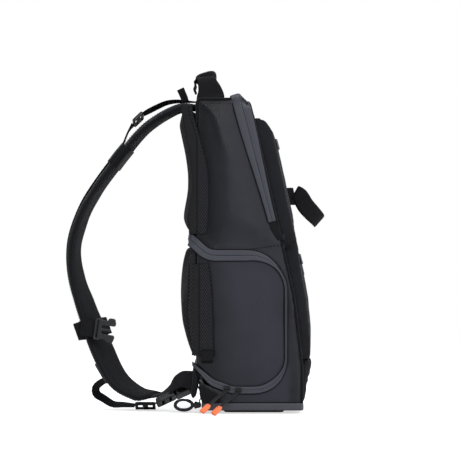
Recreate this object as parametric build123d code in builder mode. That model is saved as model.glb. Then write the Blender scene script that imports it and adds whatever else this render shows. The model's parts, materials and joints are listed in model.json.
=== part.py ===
from build123d import *
import os
from math import cos, radians, sin, tan

os.makedirs("parts", exist_ok=True)

# Sling carrying case for a small drone, in millimetres. +Z is up, +X points away from the
# wearer, -Y is the side with the access door. The origin is the middle of the base's underside.

# ---- Case body -------------------------------------------------------------------------
case_width = 230.0  # across the wearer's back, along Y
case_height = 434.0  # floor to the top wall
wall = 6.0  # foam laminated between two fabrics
back_x = -80.0  # outer face of the back wall
heel_x = -71.0  # back edge of the underside, tucked in below the door
heel_z = 60.0  # where the back wall starts to tuck in
front_low_x = 67.0  # front face near the floor
front_low_z = 66.0
front_mid_x = 56.0
front_mid_z = 160.0
fold_x = 39.0  # front face where the front lid folds
fold_z = 236.0
lid_top_x = -6.0  # front face at the top
zip_top_x = -20.0  # centre of the lid's zip on the top wall
zip_low_x = 25.0  # bottom end of the lid's zip on each side wall
zip_low_z = 265.0
gap = 0.5  # running gap between panels that part
foot_height = 7.0
foot_length = 84.0
foot_width = 172.0
trim = 1.2  # coated trim and zip tape
trim_low = 4.0
trim_rise = 1.0  # from the floor's inside to the trim's top edge
shelf_z = 226.0  # underside of the shelf between the two compartments

# ---- Access door, on the -Y side ------------------------------------------------------
door_front_x = 44.0
door_top_z = 217.6
door_low_z = 32.5
door_heel_x = -30.0  # where the door's lower edge starts to rise towards the back
door_step_x = -58.0
door_step_z = 43.0
door_corner_low_z = 68.0  # door's lower edge where it turns the back corner
door_corner_top_z = 240.0
door_shoulder_x = -64.0  # where the door's upper edge starts to rise towards the back
door_top_radius = 50.0
door_low_radius = 45.0
door_wrap = 30.0  # how far the door reaches round onto the back
tape_width = 8.0  # each half of the zip tape
door_swing_shift = 9.0  # how far back the door's lower corner moves before it is clear of the wall

# ---- Back padding ----------------------------------------------------------------------
pad_side_gap = 12.0  # bare border between pad and side wall
upper_pad_low = 249.0
pad_strap_room = 2.5  # from the upper pad's top edge to the strap's root
lower_pad_low = 77.0
lower_pad_top = 231.0
corner_pad_share = 0.6  # the door's own pad is thinner than the back's

# ---- Front pockets ---------------------------------------------------------------------
pocket_skin = 2.5
pocket_side_gap = 16.0
pocket_fold_x = 58.7  # pocket's outer face at the fold, where the lid hinges
pocket_top_z = 407.0
lid_pocket_bulge = 21.0
pocket_low_z = 84.0
pocket_low_x = 79.0
foot_pocket_top = 73.0
foot_pocket_top_x = 80.0
foot_pocket_low_x = 69.5
foot_pocket_width = 150.0

# ---- Shoulder strap --------------------------------------------------------------------
strap_width = 75.0
strap_thick = 13.0
strap_root_z = 425.0
strap_end_z = 21.0
webbing = 1.6  # thickness of all webbing
web_margin = 9.0  # how much narrower the webbing is than its buckle
web_offset = 2.2  # from the pad's outer face to the webbing on it

# ---- Fittings --------------------------------------------------------------------------
handle_width = 30.0
handle_span = 124.0
handle_rise = 34.0
handle_bend = 14.0
handle_foot = 2.4  # thickness of the sewn-down ends
handle_x = -65.0
grip_thick = 12.0
grip_length = 84.0
buckle_width = 34.0
buckle_thick = 10.0
buckle_half = 28.5
buckle_wall = 2.0
buckle_fit = 0.4  # clearance between plug and socket
buckle_tilt = 25.0
buckle_x = -109.0
buckle_y = -62.0
buckle_z = 23.5
cord_radius = 1.1
strand_offset = 1.25  # half the distance between a pull's two strands
tip_length = 17.0
tip_width = 8.0
tip_thick = 5.0

half = case_width / 2
inside = half - wall
floor_top = foot_height + wall
trim_top = floor_top + trim_rise
web_width = buckle_width - web_margin
upper_pad_top = strap_root_z - strap_thick / 2 - pad_strap_room
skin_y = half + trim
door_hinge_y = -half + door_wrap


def save(piece, name):
    """Label a finished piece and write it to parts/."""
    piece.part.label = name
    export_step(piece.part, f"parts/{name}.step")


def front_x(z):
    """Outer front face of the case at height z."""
    corners = [
        (foot_height, front_low_x),
        (front_low_z, front_low_x),
        (front_mid_z, front_mid_x),
        (fold_z, fold_x),
        (case_height, lid_top_x),
    ]
    for (z0, x0), (z1, x1) in zip(corners, corners[1:]):
        if z <= z1:
            return x0 + (x1 - x0) * (z - z0) / (z1 - z0)
    return lid_top_x


def zip_x(z):
    """Centre of the lid's zip on a side wall at height z."""
    share = (z - zip_low_z) / (case_height - zip_low_z)
    return zip_low_x + (zip_top_x - zip_low_x) * share


def profile(points, y_low, y_high):
    """Side outline of (x, z) points, extruded from y_low to y_high."""
    with BuildPart() as piece:
        with BuildSketch(Plane.XZ.offset(-y_high)):
            with BuildLine():
                Polyline(*points, close=True)
            make_face()
        extrude(amount=y_high - y_low)
    return piece


def door_points(inset=0.0):
    """Outline of the door opening on the side wall, taken in by inset all round its three free sides."""
    return [
        (back_x, door_corner_low_z + inset),
        (door_step_x, door_step_z + inset),
        (door_heel_x, door_low_z + inset),
        (door_front_x - inset, door_low_z + inset),
        (door_front_x - inset, door_top_z - inset),
        (door_shoulder_x, door_top_z - inset),
        (back_x, door_corner_top_z - inset),
    ]


def door_face(inset=0.0):
    """The door outline as a sketch, with its two front corners rounded."""
    with BuildSketch(mode=Mode.PRIVATE) as outline:
        with BuildLine():
            Polyline(*door_points(inset), close=True)
        make_face()
        fillet(outline.vertices().sort_by(lambda v: v.X - v.Y)[-1], door_low_radius - inset)
        fillet(outline.vertices().sort_by(lambda v: v.X + v.Y)[-1], door_top_radius - inset)
    return outline.sketch


# ---- Walls -----------------------------------------------------------------------------
def bottom_wall():
    return profile(
        [
            (heel_x, foot_height),
            (front_low_x, foot_height),
            (front_low_x, floor_top),
            (heel_x, floor_top),
        ],
        -inside,
        inside,
    )


def top_wall():
    return profile(
        [
            (back_x, case_height - wall),
            (zip_top_x - gap, case_height - wall),
            (zip_top_x - gap, case_height),
            (back_x, case_height),
        ],
        -inside,
        inside,
    )


def side_points():
    """Side wall outline, up to the lid's zip."""
    return [
        (heel_x, foot_height),
        (front_low_x, foot_height),
        (front_low_x, front_low_z),
        (front_mid_x, front_mid_z),
        (fold_x, fold_z),
        (zip_low_x, zip_low_z),
        (zip_top_x, case_height),
        (back_x, case_height),
        (back_x, heel_z),
        (heel_x, trim_top),
    ]


def far_side_wall():
    return profile(side_points(), inside, half)


def swing_room(below):
    """What the door's rising lower edge sweeps as it opens, down to a height of below at the front."""
    return [
        (back_x - 1, door_corner_low_z + 1),
        (back_x - 1, door_step_z + 2 - below),
        (door_step_x - door_swing_shift, door_step_z - 1.5 - below),
        (door_heel_x - door_swing_shift / 2, door_low_z - 1 - below),
        (door_heel_x - door_swing_shift / 2, door_low_z - 1),
        (door_heel_x + 2, door_low_z + gap),
        (door_step_x + 2, door_step_z + 1.5),
    ]


def near_side_wall():
    with BuildPart() as piece:
        with BuildSketch(Plane.XZ.offset(inside)):
            with BuildLine():
                Polyline(*side_points(), close=True)
            make_face()
            add(door_face(), mode=Mode.SUBTRACT)
            with BuildLine():
                Polyline(*swing_room(0.01), close=True)
            make_face(mode=Mode.SUBTRACT)
        extrude(amount=wall)
    return piece


def back_wall():
    """Back wall with the heel tucked in, and a notch where the door turns the corner."""
    with BuildPart() as piece:
        with BuildSketch(Plane.XZ.offset(-inside)):
            with BuildLine():
                Polyline(
                    (back_x, case_height - wall),
                    (back_x, heel_z),
                    (heel_x, trim_top),
                    (heel_x, floor_top),
                    (heel_x + wall, floor_top),
                    (heel_x + wall, trim_top),
                    (back_x + wall, heel_z),
                    (back_x + wall, case_height - wall),
                    close=True,
                )
            make_face()
        extrude(amount=2 * inside)
        notch_height = door_corner_top_z - door_corner_low_z
        with Locations((back_x, -half, door_corner_low_z)):
            Box(
                4 * wall,
                2 * door_wrap,
                notch_height,
                align=(Align.CENTER, Align.CENTER, Align.MIN),
                mode=Mode.SUBTRACT,
            )
    return piece


def frame_sheet():
    """Stiff plastic sheet behind the padding, against the inside of the back wall."""
    sheet = 1.5
    return profile(
        [
            (back_x + wall, heel_z + wall),
            (back_x + wall + sheet, heel_z + wall),
            (back_x + wall + sheet, shelf_z - gap),
            (back_x + wall, shelf_z - gap),
        ],
        door_hinge_y + 2 * wall,
        inside - wall,
    )


def front_wall():
    return profile(
        [
            (front_low_x, floor_top),
            (front_low_x, front_low_z),
            (front_mid_x, front_mid_z),
            (fold_x, fold_z),
            (fold_x - wall, fold_z),
            (front_mid_x - wall, front_mid_z),
            (front_low_x - wall, front_low_z),
            (front_low_x - wall, floor_top),
        ],
        -inside,
        inside,
    )


def shelf():
    return profile(
        [
            (back_x + wall, shelf_z),
            (front_x(shelf_z) - wall, shelf_z),
            (front_x(shelf_z + wall) - wall, shelf_z + wall),
            (back_x + wall, shelf_z + wall),
        ],
        -inside,
        inside,
    )


def base_foot():
    """Moulded rubber foot with a chamfered edge and cross grooves in its underside."""
    groove = 3.0
    with BuildPart() as piece:
        with BuildSketch():
            RectangleRounded(foot_length, foot_width, 8)
        extrude(amount=foot_height)
        chamfer(piece.edges().group_by(Axis.Z)[0], 1.5)
        with BuildSketch(Plane.XY):
            with GridLocations(0, foot_width / 7, 1, 6):
                Rectangle(foot_length + 2, groove)
        extrude(amount=groove / 2, mode=Mode.SUBTRACT)
    return piece


def bottom_trim():
    """Coated band round the bottom edge of the case."""
    with BuildPart() as piece:
        with BuildSketch(Plane.XY.offset(trim_low)):
            with Locations(((front_low_x + heel_x) / 2, 0)):
                Rectangle(front_low_x - heel_x + 2 * trim, case_width + 2 * trim)
        extrude(amount=trim_top - trim_low)
        with BuildSketch(Plane.XY.offset(foot_height)):
            with Locations(((front_low_x + heel_x) / 2, 0)):
                Rectangle(front_low_x - heel_x, case_width)
        extrude(amount=trim_top, mode=Mode.SUBTRACT)
        with BuildSketch(Plane.XY):
            with Locations(((front_low_x + heel_x) / 2, 0)):
                Rectangle(front_low_x - heel_x - 2 * wall, case_width - 2 * wall)
        extrude(amount=foot_height, mode=Mode.SUBTRACT)
    return piece


# ---- Access door -----------------------------------------------------------------------
def door_panel():
    """L-shaped padded door: most of the side wall, and a strip round the back corner."""
    with BuildPart() as piece:
        with BuildSketch(Plane.XZ.offset(inside)):
            add(door_face(gap))
        extrude(amount=wall)
        strip_height = door_corner_top_z - door_corner_low_z - 2 * gap
        with Locations((back_x, -inside, door_corner_low_z + gap)):
            Box(
                wall,
                door_wrap - wall - gap,
                strip_height,
                align=(Align.MIN, Align.MIN, Align.MIN),
            )
    return piece


def door_tape(name_side):
    """One half of the door's zip tape on the side wall, plus its two ends on the back."""
    on_case = name_side == "case"
    outer, inner = (-tape_width, 0.0) if on_case else (gap, tape_width)
    top_low = door_corner_top_z - (0 if on_case else tape_width)
    low_low = door_corner_low_z + (-tape_width if on_case else gap)
    height = tape_width - (0 if on_case else gap)
    with BuildPart() as piece:
        with BuildSketch(Plane.XZ.offset(half)):
            add(door_face(outer))
            add(door_face(inner), mode=Mode.SUBTRACT)
            if on_case:
                with BuildLine():
                    Polyline(*swing_room(2 * tape_width), close=True)
                make_face(mode=Mode.SUBTRACT)
        extrude(amount=trim)
        low_start = wall + gap if on_case else 0.0
        for start, z in ((0.0, top_low), (low_start, low_low)):
            with Locations((back_x, start - half, z)):
                Box(
                    trim,
                    door_wrap - gap - start,
                    height,
                    align=(Align.MAX, Align.MIN, Align.MIN),
                )
        if on_case:
            add_waist_band()
    return piece


def add_waist_band():
    """The rest of the band between the two back pads, in line with the door's upper zip."""
    start = door_hinge_y + 2 * trim
    with Locations((back_x, start, door_corner_top_z)):
        Box(
            trim,
            half - start,
            2 * tape_width,
            align=(Align.MAX, Align.MIN, Align.CENTER),
        )


# ---- Back padding ----------------------------------------------------------------------
upper_pad_curve = [(0.0, 12.5), (0.13, 14.3), (0.3, 9.2), (0.4, 7.8), (0.62, 10.5), (0.84, 18.0), (1.0, 23.0)]
lower_pad_curve = [(0.0, 6.5), (0.16, 15.0), (0.29, 20.0), (0.42, 22.0), (0.6, 19.0), (0.85, 17.0), (1.0, 15.5)]


def pad_profile(low, top, curve):
    """Pad outline in (x, z): flat on the back wall, contoured outside."""
    outside = [(back_x - depth, low + share * (top - low)) for share, depth in curve]
    return [(back_x, low), *outside, (back_x, top)]


def pad(low, top, curve, y_low, y_high, bevel=None):
    """Contoured foam pad against the back wall. A bevel (run, depth) cuts one edge back."""
    points = pad_profile(low, top, curve)
    with BuildPart() as piece:
        with BuildSketch(Plane.XZ.offset(-y_high)):
            with BuildLine():
                Line(points[0], points[1])
                Spline(*points[1:-1])
                Line(points[-2], points[-1])
                Line(points[-1], points[0])
            make_face()
        extrude(amount=y_high - y_low)
        if bevel:
            with BuildSketch(Plane.XY):
                with BuildLine():
                    Polyline(*bevel_points(*bevel), close=True)
                make_face()
            extrude(amount=case_height, mode=Mode.SUBTRACT)
    return piece


def bevel_points(run, depth):
    """What is cut away beside the door's hinge line: towards +Y for a positive run, else -Y."""
    side = 1 if run > 0 else -1
    start = door_hinge_y + side * 2 * gap
    behind = start - side * 20
    return [
        (back_x + 1, start),
        (back_x, start),
        (back_x - depth, start + run),
        (back_x - 2 * depth, start + run),
        (back_x - 2 * depth, behind),
        (back_x + 1, behind),
    ]


def upper_back_pad():
    return pad(
        upper_pad_low,
        upper_pad_top,
        upper_pad_curve,
        -half + pad_side_gap,
        half - pad_side_gap,
    )


def lower_back_pad():
    return pad(
        lower_pad_low,
        lower_pad_top,
        lower_pad_curve,
        door_hinge_y + 2 * gap,
        half - pad_side_gap,
        bevel=(30.0, 24.0),
    )


def door_corner_pad():
    """Edge of the lower padding that opens with the door, cut back from the hinge line."""
    thinner = [(share, corner_pad_share * depth) for share, depth in lower_pad_curve]
    return pad(
        lower_pad_low,
        lower_pad_top,
        thinner,
        -half,
        door_hinge_y - 2 * gap,
        bevel=(-14.0, 14.0),
    )


# ---- Front lid and pockets -------------------------------------------------------------
lid_crown = 7.0  # how far the lid's top stands above the top wall


def lid_shell():
    """Front lid: sloping front with side and top returns that reach back to the zip."""
    outer = [
        (front_x(fold_z + 2 * gap), fold_z + 2 * gap),
        (front_x(case_height - 4), case_height - 4),
        (lid_top_x - 6, case_height + lid_crown - 2),
        (zip_top_x + gap, case_height + lid_crown - 4),
        (zip_top_x + gap, case_height),
        (zip_low_x + gap, zip_low_z + gap),
    ]
    inner = [
        (fold_x - wall, fold_z + wall),
        (lid_top_x - wall, case_height - 4 - wall),
        (lid_top_x - 2 * wall, case_height - 2),
        (zip_top_x - wall, case_height - 2),
        (zip_top_x - 2 * wall, zip_low_z),
        (fold_x - 4 * wall, fold_z + wall),
    ]
    with BuildPart() as piece:
        with BuildSketch(Plane.XZ.offset(-half)):
            with BuildLine():
                Polyline(*outer, close=True)
            make_face()
        extrude(amount=case_width)
        with BuildSketch(Plane.XZ.offset(-inside)):
            with BuildLine():
                Polyline(*inner, close=True)
            make_face()
        extrude(amount=2 * inside, mode=Mode.SUBTRACT)
    return piece


def lid_tape(name_side):
    """One half of the lid's zip tape on both side walls."""
    offset_in = gap if name_side == "lid" else -tape_width
    offset_out = tape_width if name_side == "lid" else 0
    low_z = zip_low_z + tape_width
    top_z = case_height - 2
    points = [
        (zip_x(low_z) + offset_in, low_z),
        (zip_x(low_z) + offset_out, low_z),
        (zip_x(top_z) + offset_out, top_z),
        (zip_x(top_z) + offset_in, top_z),
    ]
    with BuildPart() as piece:
        for face_y, amount in ((-half, trim), (half, -trim)):
            with BuildSketch(Plane.XZ.offset(-face_y)):
                with BuildLine():
                    Polyline(*points, close=True)
                make_face()
            extrude(amount=amount)
    return piece


def pocket_tray(points, inner_points, half_width):
    """Pouch with an outer skin and side gussets, open towards the wall it is sewn to."""
    with BuildPart() as piece:
        with BuildSketch(Plane.XZ.offset(-half_width)):
            with BuildLine():
                Polyline(*points, close=True)
            make_face()
        extrude(amount=2 * half_width)
        with BuildSketch(Plane.XZ.offset(pocket_skin - half_width)):
            with BuildLine():
                Polyline(*inner_points, close=True)
            make_face()
        extrude(amount=2 * (half_width - pocket_skin), mode=Mode.SUBTRACT)
    return piece


def lid_pocket():
    """Organiser pouch on the lid, fullest near the top."""
    bulge = lid_pocket_bulge
    top_in = front_x(pocket_top_z)
    mid_z = (fold_z + pocket_top_z) / 2
    points = [
        (front_x(fold_z + 2 * gap), fold_z + 2 * gap),
        (pocket_fold_x, fold_z + 2 * gap),
        (front_x(mid_z) + bulge, mid_z),
        (front_x(pocket_top_z - 17) + bulge, pocket_top_z - 17),
        (front_x(pocket_top_z) + bulge - 8, pocket_top_z),
        (top_in, pocket_top_z),
    ]
    skin = pocket_skin
    inner = [
        (front_x(fold_z + 2 * skin), fold_z + 2 * skin),
        (pocket_fold_x - skin, fold_z + 2 * skin),
        (front_x(mid_z) + bulge - skin, mid_z),
        (front_x(pocket_top_z - 17) + bulge - skin, pocket_top_z - 17 - skin),
        (front_x(pocket_top_z) + bulge - 8 - skin, pocket_top_z - skin),
        (front_x(pocket_top_z - skin), pocket_top_z - skin),
    ]
    return pocket_tray(points, inner, half - pocket_side_gap)


def lower_pocket():
    """Stash pouch below the fold."""
    points = [
        (front_x(pocket_low_z), pocket_low_z),
        (pocket_low_x - 2, pocket_low_z),
        (pocket_low_x, pocket_low_z + 6),
        (front_x(front_mid_z) + 16, front_mid_z),
        (pocket_fold_x, fold_z - gap),
        (front_x(fold_z - gap), fold_z - gap),
        (front_mid_x, front_mid_z),
    ]
    skin = pocket_skin
    inner = [
        (front_x(pocket_low_z + skin), pocket_low_z + skin),
        (pocket_low_x - 2 - skin, pocket_low_z + skin),
        (pocket_low_x - skin, pocket_low_z + 6),
        (front_x(front_mid_z) + 16 - skin, front_mid_z),
        (pocket_fold_x - skin, fold_z - 2 * skin),
        (front_x(fold_z - 2 * skin), fold_z - 2 * skin),
        (front_mid_x, front_mid_z),
    ]
    return pocket_tray(points, inner, half - pocket_side_gap)


def foot_pocket():
    """Open-topped cup that takes a tripod's foot."""
    skin = pocket_skin
    points = [
        (front_low_x, trim_top + gap),
        (foot_pocket_low_x, trim_top + gap),
        (foot_pocket_top_x, foot_pocket_top - 8),
        (foot_pocket_top_x, foot_pocket_top),
        (front_x(foot_pocket_top), foot_pocket_top),
        (front_low_x, front_low_z),
    ]
    inner = [
        (front_low_x, trim_top + 6 * skin),
        (foot_pocket_low_x + skin, trim_top + 6 * skin),
        (foot_pocket_top_x - skin, foot_pocket_top - 8),
        (foot_pocket_top_x - skin, foot_pocket_top + skin),
        (front_low_x - skin, foot_pocket_top + skin),
        (front_low_x, front_low_z),
    ]
    return pocket_tray(points, inner, foot_pocket_width / 2)


# ---- Inside ----------------------------------------------------------------------------
divider = 8.0
divider_zs = (88.0, 152.0)
divider_gap = 0.4
divider_travel = 40.0


def padded_divider(z):
    """Movable padded shelf in the lower compartment, held by hook-and-loop at its ends."""
    front = front_x(z + divider + divider_travel) - wall - divider_gap
    with BuildPart() as piece:
        with BuildSketch(Plane.XY.offset(z)):
            back = back_x + wall + 1.5 + divider_gap
            with Locations(((back + front) / 2, 0)):
                RectangleRounded(front - back, 2 * (inside - divider_gap), 4)
        extrude(amount=divider)
    return piece


# ---- Flat bands ------------------------------------------------------------------------
def band_planes(stations):
    """A plane across the band at each (x, y, z, roll) station. Roll turns it about its own run."""
    points = [Vector(*s[:3]) for s in stations]
    planes = []
    for index, (point, station) in enumerate(zip(points, stations)):
        before = points[max(index - 1, 0)]
        after = points[min(index + 1, len(points) - 1)]
        run = (after - before).normalized()
        across = Vector(0, 1, 0) - run * run.Y
        across = across.normalized().rotate(Axis((0, 0, 0), run), station[3])
        planes.append(Plane(origin=point, x_dir=across, z_dir=run))
    return planes


def band(stations, width, thickness):
    """Flat band of the given section through the stations."""
    with BuildPart() as piece:
        for place in band_planes(stations):
            with BuildSketch(place):
                Rectangle(width, thickness)
        loft(ruled=True)
    return piece


# Shoulder strap centreline: (x, y, share of the way from the strap's end up to its root, roll).
strap_line = [
    (-80.4, 0.0, 1.0, 0.0),
    (-99.0, 0.0, 1.0, 0.0),
    (-116.0, 0.0, 0.985, 0.0),
    (-137.0, 0.0, 0.956, 1.0),
    (-159.0, 0.0, 0.910, 2.0),
    (-186.3, 0.0, 0.828, 3.0),
    (-212.0, -1.0, 0.744, 3.0),
    (-234.0, -2.0, 0.658, 4.0),
    (-249.0, -3.0, 0.563, 5.0),
    (-253.0, -5.0, 0.484, 6.0),
    (-249.0, -8.0, 0.402, 9.0),
    (-238.0, -11.0, 0.320, 13.0),
    (-225.0, -15.0, 0.231, 16.0),
    (-208.0, -20.0, 0.129, 17.0),
    (-188.0, -26.0, 0.047, 14.0),
    (-161.0, -32.0, 0.003, 6.0),
    (-140.0, -38.0, 0.0, 0.0),
]


def strap_stations(first=0, last=None):
    """Strap stations in millimetres."""
    rise = strap_root_z - strap_end_z
    return [(x, y, strap_end_z + rise * share, roll) for x, y, share, roll in strap_line[first:last]]


def strap_pad():
    return band(strap_stations(), strap_width, strap_thick)


strap_outside = strap_thick / 2 + web_offset + webbing / 2


def strap_at(position, lift=0.0):
    """Strap station at a fractional place in strap_line, moved outwards by lift."""
    index = min(int(position), len(strap_line) - 2)
    share = position - index
    near, far = strap_stations(index, index + 2)
    station = tuple(a + (b - a) * share for a, b in zip(near, far))
    run = (Vector(*far[:3]) - Vector(*near[:3])).normalized()
    across = (Vector(0, 1, 0) - run * run.Y).normalized().rotate(Axis((0, 0, 0), run), station[3])
    away = across.cross(run) * lift
    return tuple(v + d for v, d in zip(station[:3], tuple(away))) + (station[3],)


def strap_plane(position, lift):
    """Plane lying on the strap's outside: local X across it, local Y down its run."""
    index = min(int(position), len(strap_line) - 2)
    near, far = strap_stations(index, index + 2)
    run = (Vector(*far[:3]) - Vector(*near[:3])).normalized()
    station = strap_at(position, lift)
    across = (Vector(0, 1, 0) - run * run.Y).normalized().rotate(Axis((0, 0, 0), run), station[3])
    return Plane(origin=station[:3], x_dir=across, z_dir=across.cross(run))


def outer_webbing():
    """Adjusting webbing from the load lifter's lock, down the outside of the strap to the strap's lock."""
    start = lifter_plane().from_local_coords((0, -lifter_length / 2 - 0.8, 0))
    end = strap_lock_plane().from_local_coords((0, -strap_lock_length / 2 - 0.8, 0))
    on_strap = [strap_at(place, strap_outside) for place in (4.7, 5, 6, 7, 8, 9, 10, 11, 12)]
    return band(
        [
            (*start, 0),
            (start.X - 7.5, 0, start.Z - 11.5, 1),
            *on_strap,
            (*end, strap_at(strap_lock_place)[3]),
        ],
        web_width,
        webbing,
    )


def strap_sleeve():
    """Fabric sleeve round the upper strap that keeps the webbing flat on it."""
    return wrap([strap_at(4.65), strap_at(5.45)], sleeve_slack)


def wrap(spots, slack):
    """Rectangular fabric ring round the strap and its webbing, between two stations."""
    with BuildPart() as piece:
        centre = [sum(v) / 2 for v in zip(*spots)]
        run = Vector(*spots[1][:3]) - Vector(*spots[0][:3])
        place = band_planes([spots[0], tuple(centre), spots[1]])[1]
        inner_low = -(strap_thick / 2 + web_offset + webbing + slack)
        inner_high = strap_thick / 2 + slack
        inner_wide = strap_width + 2 * slack
        middle = (inner_low + inner_high) / 2
        with BuildSketch(place):
            with Locations((0, middle)):
                Rectangle(inner_wide + 2 * webbing, inner_high - inner_low + 2 * webbing)
                Rectangle(inner_wide, inner_high - inner_low, mode=Mode.SUBTRACT)
        extrude(amount=run.length / 2, both=True)
    return piece


# ---- Ladder locks and buckles ----------------------------------------------------------
def ladder_lock(place, length, width, thickness):
    """Webbing adjuster: a flat frame with two slots."""
    with BuildPart() as piece:
        with BuildSketch(place):
            RectangleRounded(width, length, 3)
            with Locations((0, length / 4), (0, -length / 4)):
                RectangleRounded(width - 7, length / 4, 1, mode=Mode.SUBTRACT)
        extrude(amount=thickness / 2, both=True)
    return piece


def across_plane(x, y, z, tilt, roll=0.0):
    """Plane of a flat fitting: its length runs along (cos tilt, 0, sin tilt), its width along Y."""
    along = Vector(cos(radians(tilt)), 0, sin(radians(tilt)))
    normal = Vector(-sin(radians(tilt)), 0, cos(radians(tilt)))
    spin = Axis((0, 0, 0), along)
    return Plane(
        origin=(x, y, z),
        x_dir=Vector(0, -1, 0).rotate(spin, roll),
        z_dir=normal.rotate(spin, roll),
    )


lifter_length = 18.0
strap_lock_length = 32.0
sleeve_slack = 1.3
strap_lock_place = 13.45
end_lock_length = 28.0
end_lock_x, end_lock_y, end_lock_z = -152.0, -26.5, 5.0


def lifter_plane():
    return across_plane(-163.0, 0, strap_root_z + strap_thick / 2 - 22.5, 45)


def lifter_lock():
    return ladder_lock(lifter_plane(), lifter_length, 32, 4)


def strap_lock_plane():
    return strap_plane(strap_lock_place, strap_thick / 2 + 5.5)


def strap_lock():
    """Ladder lock on the outside of the strap's lower curve."""
    return ladder_lock(strap_lock_plane(), strap_lock_length, 34, 4)


def end_lock():
    """Tri-glide on the webbing under the strap pad's lower end."""
    return ladder_lock(across_plane(end_lock_x, end_lock_y, end_lock_z, 0), end_lock_length, 32, 4)


def cross_loop():
    """Webbing loop of the cross strap, round the shoulder strap."""
    middle = Vector(*strap_at(12.0)[:3])
    near, far = strap_stations(11, 13)
    run = (Vector(*far[:3]) - Vector(*near[:3])).normalized() * (web_width / 2)
    roll = strap_at(12.0)[3]
    return wrap([(*(middle - run), roll), (*(middle + run), roll)], 1.6)


cross_x, cross_y, cross_z = -226.0, -58.6, 116.0
cross_tilt = -8.0


def cross_plane():
    """Plane of the cross buckle: length along +X and a little down, width up, facing -Y."""
    return Plane(
        origin=(cross_x, cross_y, cross_z),
        x_dir=(cos(radians(cross_tilt)), 0, sin(radians(cross_tilt))),
        z_dir=(0, -1, 0),
    )


def cross_tab():
    """Short webbing from the loop into the buckle."""
    with BuildPart() as piece:
        with BuildSketch(cross_plane()):
            with Locations((-5, 0)):
                Rectangle(20, web_width)
        extrude(amount=webbing)
    return piece


def cross_buckle():
    """Male half of a side-release buckle, with its ladder frame and two sprung arms."""
    arm_length = 21.0
    arm_gap = 15.0
    with BuildPart() as piece:
        with BuildSketch(cross_plane().offset(webbing + 0.3)):
            with Locations((9, 0)):
                RectangleRounded(9, buckle_width - 4, 2)
            with Locations((8, 0)):
                Rectangle(3, web_width + 0.6, mode=Mode.SUBTRACT)
            for side in (-1, 1):
                with Locations((12 + arm_length / 2, side * arm_gap / 1.55)):
                    RectangleRounded(arm_length, 6.5, 2.5)
                with Locations((27, side * arm_gap / 1.25)):
                    RectangleRounded(10, 9.5, 3)
            with Locations((19, 0)):
                RectangleRounded(15, 3, 1)
        extrude(amount=5)
    return piece


def buckle_plane(lift=0.0):
    """Plane of the mated buckle, through its middle, with its length along local Y."""
    return across_plane(buckle_x, buckle_y, buckle_z, buckle_tilt).offset(lift)


def buckle_socket():
    """Socket half: a flat sleeve open at its lower end and at both sides, with a webbing bar."""
    length = buckle_half - 0.3
    cavity = 19.0
    with BuildPart() as piece:
        with BuildSketch(buckle_plane()):
            with Locations((0, 0.3 + length / 2)):
                RectangleRounded(buckle_width, length, 4)
        extrude(amount=buckle_thick / 2, both=True)
        with BuildSketch(buckle_plane()):
            with Locations((0, cavity / 2 - 1)):
                Rectangle(buckle_width - 5, cavity + 2)
            with Locations((0, 10)):
                Rectangle(buckle_width + 2, 9)
        extrude(amount=buckle_thick / 2 - buckle_wall, both=True, mode=Mode.SUBTRACT)
        with BuildSketch(buckle_plane()):
            with Locations((0, buckle_half - 5)):
                Rectangle(web_width + 1, 3.4)
        extrude(amount=buckle_thick, both=True, mode=Mode.SUBTRACT)
    return piece


def buckle_plug():
    """Plug half: ladder frame outside, centre tongue and two arms inside the socket."""
    thin = buckle_thick / 2 - buckle_wall - buckle_fit
    latch_width = 4.4
    latch_x = (buckle_width - 5) / 2 - (latch_width + 0.6) / 2
    with BuildPart() as piece:
        with BuildSketch(buckle_plane()):
            with Locations((0, -buckle_half / 2 - 0.2)):
                RectangleRounded(buckle_width, buckle_half - 0.4, 4)
            with Locations((0, -9), (0, -20)):
                Rectangle(web_width + 1, 4, mode=Mode.SUBTRACT)
        extrude(amount=3.5, both=True)
        with BuildSketch(buckle_plane()):
            with Locations((0, 7.5)):
                Rectangle(5, 19)
            for side in (-1, 1):
                with Locations((side * (latch_x - 1.5), 5)):
                    Rectangle(5, 14)
                with Locations((side * latch_x, 9.8)):
                    RectangleRounded(latch_width, 7, 1)
        extrude(amount=thin, both=True)
    return piece


def heel_wall_x(z):
    """Outer face of the tucked-in heel at height z."""
    return heel_x + (back_x - heel_x) * (z - trim_top) / (heel_z - trim_top)


def on_heel(z, y, proud=0.3):
    """Station of webbing that lies flat on the heel at height z."""
    return (heel_wall_x(z) - webbing / 2 - proud, y, z, 0)


def socket_webbing():
    """Webbing from the socket half to the heel of the case."""
    start = buckle_plane().from_local_coords((0, buckle_half + 0.7, 0))
    return band(
        [
            (*start, 0),
            (start.X + 3.6, start.Y, start.Z + 0.6, 0),
            on_heel(30.5, start.Y),
            on_heel(16.0, start.Y),
        ],
        web_width,
        webbing,
    )


def plug_webbing():
    """Webbing from the plug half to the underside of the strap pad's end."""
    start = buckle_plane().from_local_coords((0, -buckle_half - 0.7, 0))
    return band(
        [
            (*start, 0),
            (start.X - 10.5, start.Y, start.Z + 0.7, 0),
            (start.X - 20, start.Y + 1, start.Z - 0.8, 0),
        ],
        16,
        webbing,
    )


def arch_webbing():
    """Main lower webbing: from the pad's end up in an arch to the back corner of the case."""
    return band(
        [
            (-139.4, -50.0, 21.0, 0),
            (-129.0, -57.0, 24.5, 8),
            (-118.0, -68.0, 31.5, 20),
            (-108.0, -81.0, 41.5, 38),
            (-99.0, -92.5, 46.5, 58),
            (-90.5, -101.0, 46.5, 78),
            (-82.2, -106.0, 45.5, 90),
        ],
        web_width,
        webbing,
    )


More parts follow.
